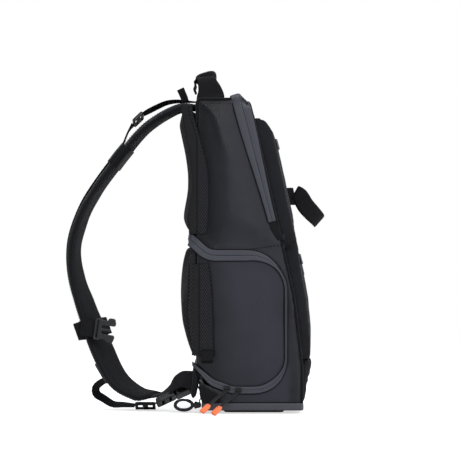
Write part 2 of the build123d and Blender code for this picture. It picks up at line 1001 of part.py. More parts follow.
def side_patch():
    """Reinforced patch on the lower back corner of the side."""
    points = [
        (-46, 22),
        (-46, trim_top + gap),
        (-72, trim_top + gap),
        (-76.5, 40),
        (-70, 39.5),
        (-53, 28),
    ]
    return profile(points, -skin_y - pocket_skin, -skin_y)


# ---- Snap hook -------------------------------------------------------------------------
hook_x, hook_y, hook_z = -97.0, -92.0, 10.5
hook_long, hook_high, hook_bar = 13.5, 8.5, 3.2
hook_mouth = 6.0  # half the opening that the gate closes
shank_radius = 2.2
swivel_plate = 2.2


def hook_plane():
    """The hook's own plane, XZ through its middle."""
    return Plane(origin=(hook_x, hook_y, hook_z), x_dir=(1, 0, 0), z_dir=(0, -1, 0))


def hook_cross_plane(x):
    """Plane across the hook's shank at x, facing the case."""
    return Plane(origin=(x, hook_y, hook_z), x_dir=(0, 1, 0), z_dir=(1, 0, 0))


def snap_hook():
    """Oval hook open on top where the gate closes it, on a round swivel shank with a head."""
    neck = hook_x + hook_long - 1
    with BuildPart() as piece:
        with BuildSketch(hook_plane()):
            Ellipse(hook_long, hook_high)
            Ellipse(hook_long - hook_bar, hook_high - hook_bar, mode=Mode.SUBTRACT)
            with Locations((-1.5, hook_high / 2 + 2)):
                Rectangle(2 * hook_mouth, hook_high + 4, mode=Mode.SUBTRACT)
        extrude(amount=2, both=True)
        with BuildSketch(hook_cross_plane(neck)):
            Circle(shank_radius)
        extrude(amount=6.4)
        with BuildSketch(hook_cross_plane(neck + 5.2)):
            Circle(shank_radius + 1.2)
        extrude(amount=1.2)
    return piece


def hook_gate():
    """Sprung gate across the top of the hook."""
    play = 0.5
    with BuildPart() as piece:
        with BuildSketch(hook_plane()):
            Ellipse(hook_long - 0.4, hook_high - 0.4)
            Ellipse(hook_long - 2.4, hook_high - 2.6, mode=Mode.SUBTRACT)
            with Locations((-1.5, hook_high)):
                Rectangle(2 * (hook_mouth - play), 2 * hook_high, mode=Mode.INTERSECT)
        extrude(amount=1.6, both=True)
    return piece


def hook_swivel():
    """Frame that the hook's shank turns in, with a bar for its webbing."""
    plate_x = hook_x + hook_long + 1.7
    bar_x = plate_x + swivel_plate + 4.0
    with BuildPart() as piece:
        with BuildSketch(hook_cross_plane(plate_x)):
            RectangleRounded(18, 8, 2)
            Circle(shank_radius + 0.3, mode=Mode.SUBTRACT)
        extrude(amount=swivel_plate)
        with BuildSketch(hook_cross_plane(plate_x + swivel_plate)):
            with Locations((8, 0), (-8, 0)):
                Rectangle(2, 6)
        extrude(amount=4)
        with BuildSketch(hook_cross_plane(bar_x)):
            Rectangle(18, 4)
        extrude(amount=1.8)
    return piece


def hook_webbing():
    """Webbing that ties the swivel to the heel of the case."""
    bar_x = hook_x + hook_long + swivel_plate + 5.7
    return band(
        [
            (bar_x + 0.9, hook_y, hook_z + 2.9, 0),
            (bar_x + 0.2, hook_y, hook_z + 6.5, 0),
            on_heel(20.0, hook_y),
            on_heel(28.0, hook_y),
        ],
        13,
        webbing,
    )


# ---- Webbing over the strap's top and its tail -----------------------------------------
def lifter_webbing():
    """Load-lifter webbing from the top edge of the case to its ladder lock."""
    top = strap_root_z + strap_thick / 2
    end = lifter_plane().from_local_coords((0, lifter_length / 2 + 0.7, 0))
    return band(
        [
            (-80.5, 0, top + 1.7, 0),
            (-105.0, 0, top + 2.9, 0),
            (-122.0, 0, top + 0.9, 0),
            (-136.0, 0, top - 5.0, 0),
            (-148.0, 0, top - 11.1, 0),
            (*end, 0),
        ],
        web_width,
        webbing,
    )


def hanger_tab():
    """Folded webbing tab that stands up at the strap's root."""
    top = strap_root_z + strap_thick / 2
    return band(
        [
            (-96.0, -24, top + 1.1, 60),
            (-97.5, -24, top + 7.0, 60),
            (-100.5, -24, top + 14.0, 62),
            (-103.0, -24, top + 19.5, 66),
        ],
        11,
        2.6,
    )


def webbing_tail():
    """Slack end of the adjusting webbing: a loop below the strap's lock, back to the end lock."""
    start = strap_lock_plane().from_local_coords((0, 10, 2.7))
    end_x = end_lock_x - end_lock_length / 2 - 0.6
    return band(
        [
            (*start, 17),
            (start.X - 9.0, -22, start.Z - 4.0, 17),
            (start.X - 16.0, -22, start.Z - 11.0, 14),
            (start.X - 15.0, -22, start.Z - 20.0, 10),
            (start.X - 6.0, -23, start.Z - 26.5, 6),
            (start.X + 8.0, -27, end_lock_z + 1.2, 3),
            (start.X + 22.0, end_lock_y, end_lock_z + 0.2, 0),
            (end_x, end_lock_y, end_lock_z, 0),
        ],
        web_width,
        webbing,
    )


# ---- Grab handle -----------------------------------------------------------------------
def grab_handle():
    """Webbing arch across the top of the case, with its two sewn-down ends."""
    leg = handle_span / 2
    foot_length_x = 42.0
    foot_depth = 22.0
    lean = 8.0
    thick = 3.0
    outer = [(leg, 0), (leg - lean, handle_rise), (lean - leg, handle_rise), (-leg, 0)]
    inner = [(leg - thick, 0), (leg - lean - thick, handle_rise - thick)]
    inner += [(-x, z) for x, z in reversed(inner)]
    with BuildPart() as piece:
        with BuildSketch(Plane.XY.offset(case_height)):
            with Locations(*[(back_x + foot_length_x / 2, side * leg) for side in (-1, 1)]):
                Rectangle(foot_length_x - 2, foot_depth)
        extrude(amount=handle_foot)
        with BuildSketch(handle_plane(handle_x)):
            with BuildLine():
                top = FilletPolyline(*outer, radius=handle_bend)
                low = FilletPolyline(*inner, radius=handle_bend - thick)
                Line(top @ 0, low @ 0)
                Line(top @ 1, low @ 1)
            make_face()
        extrude(amount=handle_width / 2, both=True)
    return piece


def handle_plane(x):
    """Plane across the case at x, from the top of the handle's sewn-down ends."""
    return Plane(origin=(x, 0, case_height + handle_foot), x_dir=(0, 1, 0), z_dir=(1, 0, 0))


def handle_grip():
    """Padded grip folded round the top of the handle."""
    middle = case_height + handle_foot + handle_rise - 1
    with BuildPart() as piece:
        place = Plane(origin=(handle_x, -grip_length / 2, middle), x_dir=(1, 0, 0), z_dir=(0, -1, 0))
        with BuildSketch(place):
            RectangleRounded(handle_width + 7, grip_thick, 5)
            Rectangle(handle_width + 1.2, 7.4, mode=Mode.SUBTRACT)
        extrude(amount=-grip_length)
    return piece


# ---- Tripod strap on the lid's pocket --------------------------------------------------
tripod_z = 300.0
tripod_half = 24.0
tripod_width = 33.0
tripod_tab = 13.0
tripod_droop = 38.0
tripod_run = 34.0


def pocket_front_x(z):
    """Outer face of the lid pocket at height z, below its fullest part."""
    mid_z = (fold_z + pocket_top_z) / 2
    low_z = fold_z + 2 * gap
    share = (z - low_z) / (mid_z - low_z)
    return pocket_fold_x + (front_x(mid_z) + lid_pocket_bulge - pocket_fold_x) * share


def tripod_tabs():
    """Two stiff webbing tabs sewn on the pocket."""
    low, high = tripod_z - 12, tripod_z + 12
    tip = pocket_front_x(low) + tripod_tab
    points = [
        (pocket_front_x(low) + 0.05, low),
        (tip, low),
        (tip - 5, high),
        (pocket_front_x(high) + 0.05, high),
    ]
    with BuildPart() as piece:
        for side in (-1, 1):
            with BuildSketch(Plane.XZ.offset(side * tripod_half)):
                with BuildLine():
                    Polyline(*points, close=True)
                make_face()
            extrude(amount=1.4, both=True)
    return piece


def tripod_hinge():
    """Where the loop swings: the middle of the tabs' outer edge."""
    return pocket_front_x(tripod_z - 12) + tripod_tab - 1.0, tripod_z - 2


def tripod_strap():
    """Drooping loop of wide webbing, with its slack doubled at the outer end."""
    x0, z0 = tripod_hinge()
    tilt = radians(tripod_droop)
    place = Plane(
        origin=(x0, 0, z0),
        x_dir=(cos(tilt), 0, -sin(tilt)),
        z_dir=(sin(tilt), 0, cos(tilt)),
    )
    outer = tripod_half + 1.4 + 0.4 + webbing
    with BuildPart() as piece:
        with BuildSketch(place):
            with Locations((tripod_run / 2, 0)):
                RectangleRounded(tripod_run + 22, 2 * outer, 9)
                RectangleRounded(tripod_run + 22 - 2 * webbing, 2 * (outer - webbing), 7.4, mode=Mode.SUBTRACT)
            with Locations((-11, 0)):
                Rectangle(22, 2 * outer + 2, mode=Mode.SUBTRACT)
        extrude(amount=tripod_width / 2 - 4, both=True)
    return piece


# ---- Zip sliders and pulls -------------------------------------------------------------
door_slider_xs = (-37.0, -21.5)
lid_slider_z = 290.0
slider_size = (9.0, 7.0, 3.2)
bail_deep, bail_stand, bail_thick = 1.8, 2.4, 1.2
cord_start_gap = 1.7


def slider(x, side, z, turn=0.0):
    """Zip slider with a raised bail, on the tape. Side is -1 for -Y and 1 for +Y."""
    face = Plane(
        origin=(x, side * skin_y, z),
        x_dir=(cos(radians(turn)), 0, sin(radians(turn))),
        z_dir=(0, side, 0),
    )
    with BuildPart() as piece:
        with BuildSketch(face):
            RectangleRounded(slider_size[0], slider_size[1], 1.6)
        extrude(amount=slider_size[2])
        with BuildSketch(face.offset(slider_size[2])):
            with Locations((-2.6, 0), (2.6, 0)):
                Rectangle(1.6, bail_deep)
        extrude(amount=bail_stand)
        with BuildSketch(face.offset(slider_size[2] + bail_stand)):
            Rectangle(6.8, bail_deep)
        extrude(amount=bail_thick)
    return piece


def cord_route(start, side, hanging):
    """Pull cord's corner points from its slider: the door's lean out and rest low, the lid's hang."""
    x, y, z = start
    if hanging:
        steps = [(0, 0, 0), (0.5, 1.6, -15), (0.8, 1.4, -30.5), (0.2, 0.2, -46)]
    else:
        steps = [(0, 0, 0), (-7, -10.5, -4.2), (-15.5, -21.5, -10.5), (-24.5, -31.0, -18.5)]
    return [(x + dx, y + (side if hanging else 1) * dy, z + dz) for dx, dy, dz in steps]


def cord_radii(points):
    """Largest tangent arc for each corner: 0.45 of the shorter run over the half turn's tangent."""
    vectors = [Vector(*b) - Vector(*a) for a, b in zip(points, points[1:])]
    radii = []
    for before, after in zip(vectors, vectors[1:]):
        turn = radians(before.get_angle(after))
        radii.append(0.45 * min(before.length, after.length) / tan(turn / 2))
    return radii


def strand_shift(points):
    """Sideways unit vector for the two strands, square to the cord's last run."""
    run = (Vector(*points[-1]) - Vector(*points[-2])).normalized()
    return (Vector(1, 0, 0) - run * run.X).normalized()


def pull_cord(start, side, hanging):
    """Two parallel strands of one doubled cord."""
    route = cord_route(start, side, hanging)
    across = strand_shift(route)
    with BuildPart() as piece:
        for shift in (-strand_offset, strand_offset):
            points = [tuple(Vector(*point) + across * shift) for point in route]
            with BuildLine() as path:
                FilletPolyline(*points, radius=cord_radii(points))
            wire = path.wires()[0]
            with BuildSketch(Plane(origin=wire @ 0, z_dir=wire % 0)):
                Circle(cord_radius)
            sweep(path=wire)
    print("cord arc radii", [round(r, 1) for r in cord_radii(route)])
    return piece


def pull_tip(start, side, hanging):
    """Moulded grip on the cord's end."""
    points = cord_route(start, side, hanging)
    end = Vector(*points[-1])
    run = (end - Vector(*points[-2])).normalized()
    place = Plane(origin=end, x_dir=strand_shift(points), z_dir=run)
    with BuildPart() as piece:
        with BuildSketch(place):
            RectangleRounded(tip_width - 2.2, tip_thick - 1.0, 1.4)
        with BuildSketch(place.offset(5)):
            RectangleRounded(tip_width, tip_thick, 2)
        with BuildSketch(place.offset(tip_length)):
            RectangleRounded(tip_width, tip_thick - 0.6, 1.8)
        loft(ruled=True)
    return piece


def door_zip_z(x):
    """Height of the door's lower zip at x, on its level run and the slope behind that."""
    if x > door_heel_x:
        return door_low_z
    return door_low_z + (door_step_z - door_low_z) * (door_heel_x - x) / (door_heel_x - door_step_x)


def door_slider(index):
    x = door_slider_xs[index]
    return slider(x, -1, door_zip_z(x))


def door_cord_start(index):
    """Under the bail of a door slider."""
    x = door_slider_xs[index]
    bar_y = -skin_y - slider_size[2] - bail_stand - bail_thick / 2
    return x, bar_y, door_zip_z(x) - bail_deep / 2 - cord_start_gap


def lid_cord_start():
    """Under the bail of the lid's slider, on the +Y side."""
    return zip_x(lid_slider_z) + 1.0, skin_y + slider_size[2] + 1.2, lid_slider_z - 4.9


def door_finger_tab():
    """Short webbing loop at the door's lower back corner, for pulling it open."""
    low, high, stand, thick = 69.0, 90.0, 6.3, 1.6
    outer = [(0, high), (stand, high - 4), (stand, low + 4), (0, low)]
    inner = [
        (0, low + 2),
        (stand - thick, low + 5),
        (stand - thick, high - 5),
        (0, high - 2),
    ]
    place = Plane(origin=(back_x + 23, -half, 0), x_dir=(0, -1, 0), z_dir=(-1, 0, 0))
    with BuildPart() as piece:
        with BuildSketch(place):
            with BuildLine():
                Polyline(*outer, *inner, close=True)
            make_face()
        extrude(amount=15)
    return piece


# ---- Build every piece -----------------------------------------------------------------
pieces = {
    "bottom_wall": bottom_wall,
    "top_wall": top_wall,
    "far_side_wall": far_side_wall,
    "near_side_wall": near_side_wall,
    "back_wall": back_wall,
    "frame_sheet": frame_sheet,
    "front_wall": front_wall,
    "compartment_shelf": shelf,
    "base_foot": base_foot,
    "bottom_trim": bottom_trim,
    "door_panel": door_panel,
    "door_zip_tape_case_half": lambda: door_tape("case"),
    "door_zip_tape_door_half": lambda: door_tape("door"),
    "upper_back_pad": upper_back_pad,
    "lower_back_pad": lower_back_pad,
    "door_corner_pad": door_corner_pad,
    "lid_shell": lid_shell,
    "lid_zip_tape_case_half": lambda: lid_tape("case"),
    "lid_zip_tape_lid_half": lambda: lid_tape("lid"),
    "lid_pocket": lid_pocket,
    "lower_front_pocket": lower_pocket,
    "tripod_foot_pocket": foot_pocket,
    "padded_divider_low": lambda: padded_divider(divider_zs[0]),
    "padded_divider_high": lambda: padded_divider(divider_zs[1]),
    "shoulder_strap_pad": strap_pad,
    "strap_outer_webbing": outer_webbing,
    "strap_sleeve": strap_sleeve,
    "load_lifter_lock": lifter_lock,
    "load_lifter_webbing": lifter_webbing,
    "hanger_tab": hanger_tab,
    "strap_lock": strap_lock,
    "webbing_tail_loop": webbing_tail,
    "strap_end_lock": end_lock,
    "arch_webbing": arch_webbing,
    "side_patch": side_patch,
    "cross_strap_loop": cross_loop,
    "cross_strap_tab": cross_tab,
    "cross_buckle_male": cross_buckle,
    "side_release_socket": buckle_socket,
    "side_release_plug": buckle_plug,
    "socket_webbing": socket_webbing,
    "plug_webbing": plug_webbing,
    "snap_hook": snap_hook,
    "snap_hook_gate": hook_gate,
    "snap_hook_swivel": hook_swivel,
    "snap_hook_webbing": hook_webbing,
    "grab_handle": grab_handle,
    "handle_grip": handle_grip,
    "tripod_tabs": tripod_tabs,
    "tripod_strap": tripod_strap,
    "door_finger_tab": door_finger_tab,
    "lid_slider": lambda: slider(zip_x(lid_slider_z), 1, lid_slider_z, 105),
    "lid_pull_cord": lambda: pull_cord(lid_cord_start(), 1, True),
    "lid_pull_tip": lambda: pull_tip(lid_cord_start(), 1, True),
}

for index, letter in enumerate("ab"):
    save(door_slider(index), f"door_slider_{letter}")
    save(pull_cord(door_cord_start(index), -1, False), f"door_pull_cord_{letter}")
    save(pull_tip(door_cord_start(index), -1, False), f"door_pull_tip_{letter}")

for name, make in pieces.items():
    save(make(), name)
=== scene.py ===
import json
import math

import bmesh
import bpy
from mathutils import Matrix, Vector, noise
from mathutils.bvhtree import BVHTree

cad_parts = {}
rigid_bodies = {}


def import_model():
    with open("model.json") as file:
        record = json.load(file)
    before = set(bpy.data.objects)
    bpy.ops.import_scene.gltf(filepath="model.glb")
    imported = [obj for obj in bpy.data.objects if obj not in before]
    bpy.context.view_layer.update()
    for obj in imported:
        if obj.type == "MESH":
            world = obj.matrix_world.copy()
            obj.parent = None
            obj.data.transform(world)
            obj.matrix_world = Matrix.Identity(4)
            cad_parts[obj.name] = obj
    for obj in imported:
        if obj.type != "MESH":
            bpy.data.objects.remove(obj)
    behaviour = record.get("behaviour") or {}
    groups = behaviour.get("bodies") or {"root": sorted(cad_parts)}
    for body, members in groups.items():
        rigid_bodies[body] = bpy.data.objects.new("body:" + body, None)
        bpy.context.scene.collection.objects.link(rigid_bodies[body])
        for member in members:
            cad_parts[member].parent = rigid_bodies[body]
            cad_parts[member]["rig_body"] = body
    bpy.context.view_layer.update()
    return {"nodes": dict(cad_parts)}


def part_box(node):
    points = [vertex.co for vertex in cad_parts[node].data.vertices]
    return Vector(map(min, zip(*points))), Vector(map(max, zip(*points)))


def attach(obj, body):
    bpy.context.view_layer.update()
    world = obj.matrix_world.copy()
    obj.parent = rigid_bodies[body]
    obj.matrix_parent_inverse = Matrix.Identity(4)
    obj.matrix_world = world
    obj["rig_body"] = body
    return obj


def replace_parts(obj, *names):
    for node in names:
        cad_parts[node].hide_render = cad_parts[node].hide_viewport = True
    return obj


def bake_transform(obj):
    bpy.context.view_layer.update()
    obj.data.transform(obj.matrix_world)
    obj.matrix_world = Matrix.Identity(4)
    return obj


# Sling carrying case for a small drone. Everything is in metres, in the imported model's frame:
# +Z is up, +X points away from the wearer and -Y is the side with the access door.
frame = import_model()
scene = bpy.context.scene


def mm(*values):
    return Vector(values) / 1000


# ---- Camera, light and floor -----------------------------------------------------------
def make_camera():
    """Level view square on to the door side, from far off."""
    away = 4.0
    view_width = 0.6348
    data = bpy.data.cameras.new("camera")
    data.lens = data.sensor_width * away / view_width
    data.clip_end = 60
    camera = bpy.data.objects.new("camera", data)
    camera.location = (-0.0331, -away - 0.1, 0.2525)
    camera.rotation_euler = (math.radians(90), 0, 0)
    scene.collection.objects.link(camera)
    scene.camera = camera


def make_light(name, place, target, size, power):
    data = bpy.data.lights.new(name, "AREA")
    data.shape = "RECTANGLE"
    data.size, data.size_y = size
    data.energy = power
    light = bpy.data.objects.new(name, data)
    light.location = place
    light.rotation_euler = (Vector(target) - Vector(place)).to_track_quat("-Z", "Y").to_euler()
    scene.collection.objects.link(light)


def make_studio():
    """White to the eye, but lit mostly by the area lights so that folds keep their shade."""
    world = bpy.data.worlds.new("studio")
    world.use_nodes = True
    tree = world.node_tree
    lit = tree.nodes["Background"]
    lit.inputs["Color"].default_value = (0.92, 0.95, 1.0, 1)
    lit.inputs["Strength"].default_value = 0.42
    seen = tree.nodes.new("ShaderNodeBackground")
    seen.inputs["Color"].default_value = (1, 1, 1, 1)
    mix = tree.nodes.new("ShaderNodeMixShader")
    tree.links.new(tree.nodes.new("ShaderNodeLightPath").outputs["Is Camera Ray"], mix.inputs[0])
    tree.links.new(lit.outputs[0], mix.inputs[1])
    tree.links.new(seen.outputs[0], mix.inputs[2])
    tree.links.new(mix.outputs[0], tree.nodes["World Output"].inputs["Surface"])
    scene.world = world
    scene.view_settings.view_transform = "Standard"
    aim = (-0.03, 0, 0.2)
    make_light("key", (0.9, -2.3, 1.5), aim, (1.2, 1.2), 38)
    make_light("fill", (-2.2, -1.4, 0.7), aim, (1.0, 1.6), 7)
    make_light("edge", (2.2, 0.2, 0.9), aim, (0.8, 1.6), 16)
    make_light("rim", (-1.4, 1.5, 1.5), aim, (1.0, 1.0), 12)
    make_light("top", (0.0, 0.2, 2.4), aim, (1.2, 1.2), 14)
    bm = bmesh.new()
    bmesh.ops.create_circle(bm, cap_ends=True, segments=96, radius=3.2)
    mesh = bpy.data.meshes.new("floor")
    bm.to_mesh(mesh)
    bm.free()
    floor = bpy.data.objects.new("floor", mesh)
    floor.location.z = -0.0004
    scene.collection.objects.link(floor)
    floor.data.materials.append(floor_material())


def floor_material():
    """White paper that fades out into the light behind it."""
    made = Nodes.material("floor_paper")
    spot = made.node("ShaderNodeTexCoord").outputs["Object"]
    far = made.vector_math("LENGTH", spot)
    fade = made.remap(far, 0.5, 2.9, 0.0, 1.0)
    clear = made.node("ShaderNodeBsdfTransparent")
    paper = made.node("ShaderNodeBsdfDiffuse", Color=(0.9, 0.9, 0.9, 1))
    eye = made.node("ShaderNodeLightPath").outputs["Is Camera Ray"]
    glow = made.node("ShaderNodeEmission", Strength=made.math("MULTIPLY", eye, 0.62))
    both = made.tree.nodes.new("ShaderNodeAddShader")
    made.tree.links.new(paper.outputs[0], both.inputs[0])
    made.tree.links.new(glow.outputs[0], both.inputs[1])
    mix = made.node("ShaderNodeMixShader", Fac=fade)
    made.tree.links.new(both.outputs[0], mix.inputs[1])
    made.tree.links.new(clear.outputs[0], mix.inputs[2])
    made.tree.links.new(mix.outputs[0], made.output.inputs["Surface"])
    made.tree.nodes.remove(made.shader)
    return made.material


# ---- Finishes --------------------------------------------------------------------------
class Nodes:
    """A node tree with short calls for the nodes that the finishes need."""

    def __init__(self, tree):
        self.tree = tree

    @classmethod
    def material(cls, name):
        made = bpy.data.materials.new(name)
        made.use_nodes = True
        nodes = cls(made.node_tree)
        nodes.material = made
        nodes.shader = made.node_tree.nodes["Principled BSDF"]
        nodes.output = made.node_tree.nodes["Material Output"]
        return nodes

    @classmethod
    def group(cls, name, inputs, outputs):
        """Empty shader group. Inputs and outputs are (name, kind, value) and (name, kind)."""
        kinds = {"f": "NodeSocketFloat", "v": "NodeSocketVector", "c": "NodeSocketColor"}
        tree = bpy.data.node_groups.new(name, "ShaderNodeTree")
        for label, kind, value in inputs:
            socket = tree.interface.new_socket(label, in_out="INPUT", socket_type=kinds[kind])
            if value is not None:
                socket.default_value = value
        for label, kind in outputs:
            tree.interface.new_socket(label, in_out="OUTPUT", socket_type=kinds[kind])
        nodes = cls(tree)
        nodes.inside = tree.nodes.new("NodeGroupInput").outputs
        nodes.result = tree.nodes.new("NodeGroupOutput").inputs
        return nodes

    def node(self, kind, **inputs):
        made = self.tree.nodes.new(kind)
        for label, value in inputs.items():
            self.put(made.inputs[label.replace("_", " ")], value)
        return made

    def put(self, socket, value):
        if isinstance(value, bpy.types.NodeSocket):
            self.tree.links.new(value, socket)
        elif value is not None:
            socket.default_value = value

    def math(self, operation, *values):
        made = self.tree.nodes.new("ShaderNodeMath")
        made.operation = operation
        for socket, value in zip(made.inputs, values):
            self.put(socket, value)
        return made.outputs[0]

    def vector_math(self, operation, *values):
        made = self.tree.nodes.new("ShaderNodeVectorMath")
        made.operation = operation
        for socket, value in zip(made.inputs, values):
            self.put(socket, value)
        return made.outputs["Value" if operation == "LENGTH" else "Vector"]

    def shaded(self, colour, amount):
        """The colour times a plain grey amount."""
        grey = self.node("ShaderNodeCombineXYZ", X=amount, Y=amount, Z=amount).outputs[0]
        return self.vector_math("MULTIPLY", colour, grey)

    def remap(self, value, low, high, to_low, to_high):
        made = self.node("ShaderNodeMapRange")
        made.interpolation_type = "SMOOTHSTEP"
        for socket, number in zip(made.inputs, (value, low, high, to_low, to_high)):
            self.put(socket, number)
        return made.outputs["Result"]

    def split(self, vector):
        made = self.tree.nodes.new("ShaderNodeSeparateXYZ")
        self.put(made.inputs[0], vector)
        return made.outputs

    def noise(self, vector, scale, detail=2.0, roughness=0.5):
        made = self.node(
            "ShaderNodeTexNoise", Vector=vector, Scale=scale, Detail=detail, Roughness=roughness
        )
        return made.outputs[0]

    def mix_colour(self, share, a, b):
        made = self.tree.nodes.new("ShaderNodeMix")
        made.data_type = "RGBA"
        self.put(made.inputs["Factor"], share)
        self.put(made.inputs[6], a)
        self.put(made.inputs[7], b)
        return made.outputs[2]

    def use(self, group, **inputs):
        made = self.tree.nodes.new("ShaderNodeGroup")
        made.node_tree = group
        for label, value in inputs.items():
            self.put(made.inputs[label], value)
        return made.outputs

    def bump(self, height, distance, strength=1.0):
        made = self.node("ShaderNodeBump", Height=height, Distance=distance, Strength=strength)
        return made.outputs[0]


def weave_group():
    """Plain weave: bumps where threads cross over, and the gaps between them, which the finish paints dark as
    shade.
    """
    made = Nodes.group(
        "plain_weave", [("Vector", "v", None), ("Thread", "f", 0.0006)], [("Height", "f"), ("Gap", "f")]
    )
    x, y, _ = made.split(made.inside["Vector"])
    pitch = math.pi
    u = made.math("MULTIPLY", made.math("DIVIDE", x, made.inside["Thread"]), pitch)
    v = made.math("MULTIPLY", made.math("DIVIDE", y, made.inside["Thread"]), pitch)
    over = made.math("MULTIPLY", made.math("SINE", u), made.math("SINE", v))
    made.put(made.result["Height"], made.math("MULTIPLY_ADD", over, 0.5, 0.5))
    rim = made.math(
        "MINIMUM", made.math("ABSOLUTE", made.math("SINE", u)), made.math("ABSOLUTE", made.math("SINE", v))
    )
    made.put(made.result["Gap"], made.remap(rim, 0.0, 0.35, 1.0, 0.0))
    return made.tree


def mottle_group():
    """Slow change of shade over a surface, with a finer grain in it."""
    made = Nodes.group(
        "mottle", [("Vector", "v", None), ("Size", "f", 0.03), ("Depth", "f", 0.2)], [("Shade", "f")]
    )
    near = made.math("DIVIDE", 1.0, made.inside["Size"])
    slow = made.noise(made.inside["Vector"], near, 4.0, 0.6)
    centred = made.math("SUBTRACT", slow, 0.5)
    made.put(made.result["Shade"], made.math("MULTIPLY_ADD", centred, made.inside["Depth"], 1.0))
    return made.tree


def spacer_mesh_group():
    """Air mesh: diamond holes between knitted threads."""
    made = Nodes.group(
        "spacer_mesh", [("Vector", "v", None), ("Pitch", "f", 0.003)], [("Hole", "f"), ("Height", "f")]
    )
    x, y, _ = made.split(made.inside["Vector"])
    a = made.math("DIVIDE", made.math("MULTIPLY_ADD", y, 0.62, x), made.inside["Pitch"])
    b = made.math("DIVIDE", made.math("MULTIPLY_ADD", y, -0.62, x), made.inside["Pitch"])
    near = made.math("MINIMUM", made.math("PINGPONG", a, 0.5), made.math("PINGPONG", b, 0.5))
    made.put(made.result["Hole"], made.remap(near, 0.12, 0.24, 0.0, 1.0))
    made.put(made.result["Height"], made.remap(near, 0.02, 0.22, 1.0, 0.0))
    return made.tree


def rib_group():
    """Webbing: ribs down its length, with the short weft bars of a herringbone."""
    made = Nodes.group(
        "webbing_ribs", [("Vector", "v", None), ("Rib", "f", 0.0016)], [("Height", "f"), ("Gap", "f")]
    )
    x, y, _ = made.split(made.inside["Vector"])
    across = made.math("PINGPONG", made.math("DIVIDE", x, made.inside["Rib"]), 0.5)
    slant = made.math("MULTIPLY", across, 1.2)
    along = made.math("PINGPONG", made.math("ADD", made.math("DIVIDE", y, made.inside["Rib"]), slant), 0.5)
    made.put(
        made.result["Height"], made.math("MULTIPLY_ADD", along, 0.7, made.math("MULTIPLY", across, 1.4))
    )
    made.put(made.result["Gap"], made.remap(across, 0.0, 0.12, 1.0, 0.0))
    return made.tree


def grain_group():
    """Fine spark-eroded grain of moulded plastic and rubber, with faint scuffs."""
    made = Nodes.group(
        "moulded_grain", [("Vector", "v", None), ("Size", "f", 0.0006)], [("Height", "f"), ("Scuff", "f")]
    )
    fine = made.noise(made.inside["Vector"], made.math("DIVIDE", 1.0, made.inside["Size"]), 3.0, 0.6)
    made.put(made.result["Height"], fine)
    stretched = made.vector_math("MULTIPLY", made.inside["Vector"], (1.0, 3.0, 5.0))
    scuff = made.noise(stretched, 90.0, 5.0, 0.7)
    made.put(made.result["Scuff"], made.remap(scuff, 0.56, 0.72, 0.0, 1.0))
    return made.tree


def crease_group():
    """Soft creases that run across cloth where it is pulled or folded."""
    made = Nodes.group("soft_creases", [("Vector", "v", None), ("Size", "f", 0.05)], [("Height", "f")])
    near = made.math("DIVIDE", 1.0, made.inside["Size"])
    bent = made.noise(made.inside["Vector"], near, 3.0, 0.5)
    ridge = made.math("PINGPONG", made.math("MULTIPLY", bent, 6.0), 1.0)
    made.put(made.result["Height"], made.math("POWER", ridge, 1.6))
    return made.tree


GROUPS = {
    "weave": weave_group(),
    "mottle": mottle_group(),
    "spacer": spacer_mesh_group(),
    "ribs": rib_group(),
    "grain": grain_group(),
    "crease": crease_group(),
}


def tint(colour, share):
    return (*[min(1.0, c * share) for c in colour], 1)


def surface_uv(made):
    return made.node("ShaderNodeUVMap").outputs[0]


def woven_finish(
    name, colour, thread, rough, sheen=0.04, mottle=0.25, crease=0.0006, weave=0.00012, specular=0.22,
    painted_shade=False
):
    """Woven cloth, with or without a coating, and with or without painted shade by place."""
    made = Nodes.material(name)
    uv = surface_uv(made)
    spot = made.node("ShaderNodeTexCoord").outputs["Object"]
    threads = made.use(GROUPS["weave"], Vector=uv, Thread=thread)
    shade = made.use(GROUPS["mottle"], Vector=spot, Size=0.035, Depth=mottle)["Shade"]
    fleck = made.use(GROUPS["mottle"], Vector=uv, Size=0.0012, Depth=0.7)["Shade"]
    # Gaps between threads painted darker: painted shade in the recesses.
    base = made.mix_colour(threads["Gap"], tint(colour, 1.08), tint(colour, 0.62))
    if painted_shade:
        # Painted shade by place on the shell: darker to the rear, up high and on the front strip.
        x, _, z = made.split(spot)
        rear = made.remap(x, -0.068, -0.016, 0.42, 1.20)
        broad = made.remap(made.noise(spot, 11.0, 3.0, 0.5), 0.3, 0.7, 0.8, 1.15)
        high = made.remap(z, 0.2, 0.26, 1.0, 0.74)
        front = made.remap(x, 0.042, 0.052, 1.0, 0.46)
        shade = made.math(
            "MULTIPLY", made.math("MULTIPLY", shade, rear), made.math("MULTIPLY", broad, high)
        )
        shade = made.math("MULTIPLY", shade, front)
    lit = made.shaded(base, shade)
    lit = made.shaded(lit, fleck)
    made.put(made.shader.inputs["Base Color"], lit)
    made.put(made.shader.inputs["Roughness"], made.math("MULTIPLY", shade, rough))
    folds = made.use(GROUPS["crease"], Vector=spot, Size=0.09)["Height"]
    slow = made.bump(folds, crease, 0.5)
    fine = made.node("ShaderNodeBump", Height=threads["Height"], Distance=weave, Strength=0.8, Normal=slow)
    made.put(made.shader.inputs["Normal"], fine.outputs[0])
    made.shader.inputs["Sheen Weight"].default_value = sheen
    made.shader.inputs["Sheen Roughness"].default_value = 0.5
    made.shader.inputs["Specular IOR Level"].default_value = specular
    return made.material


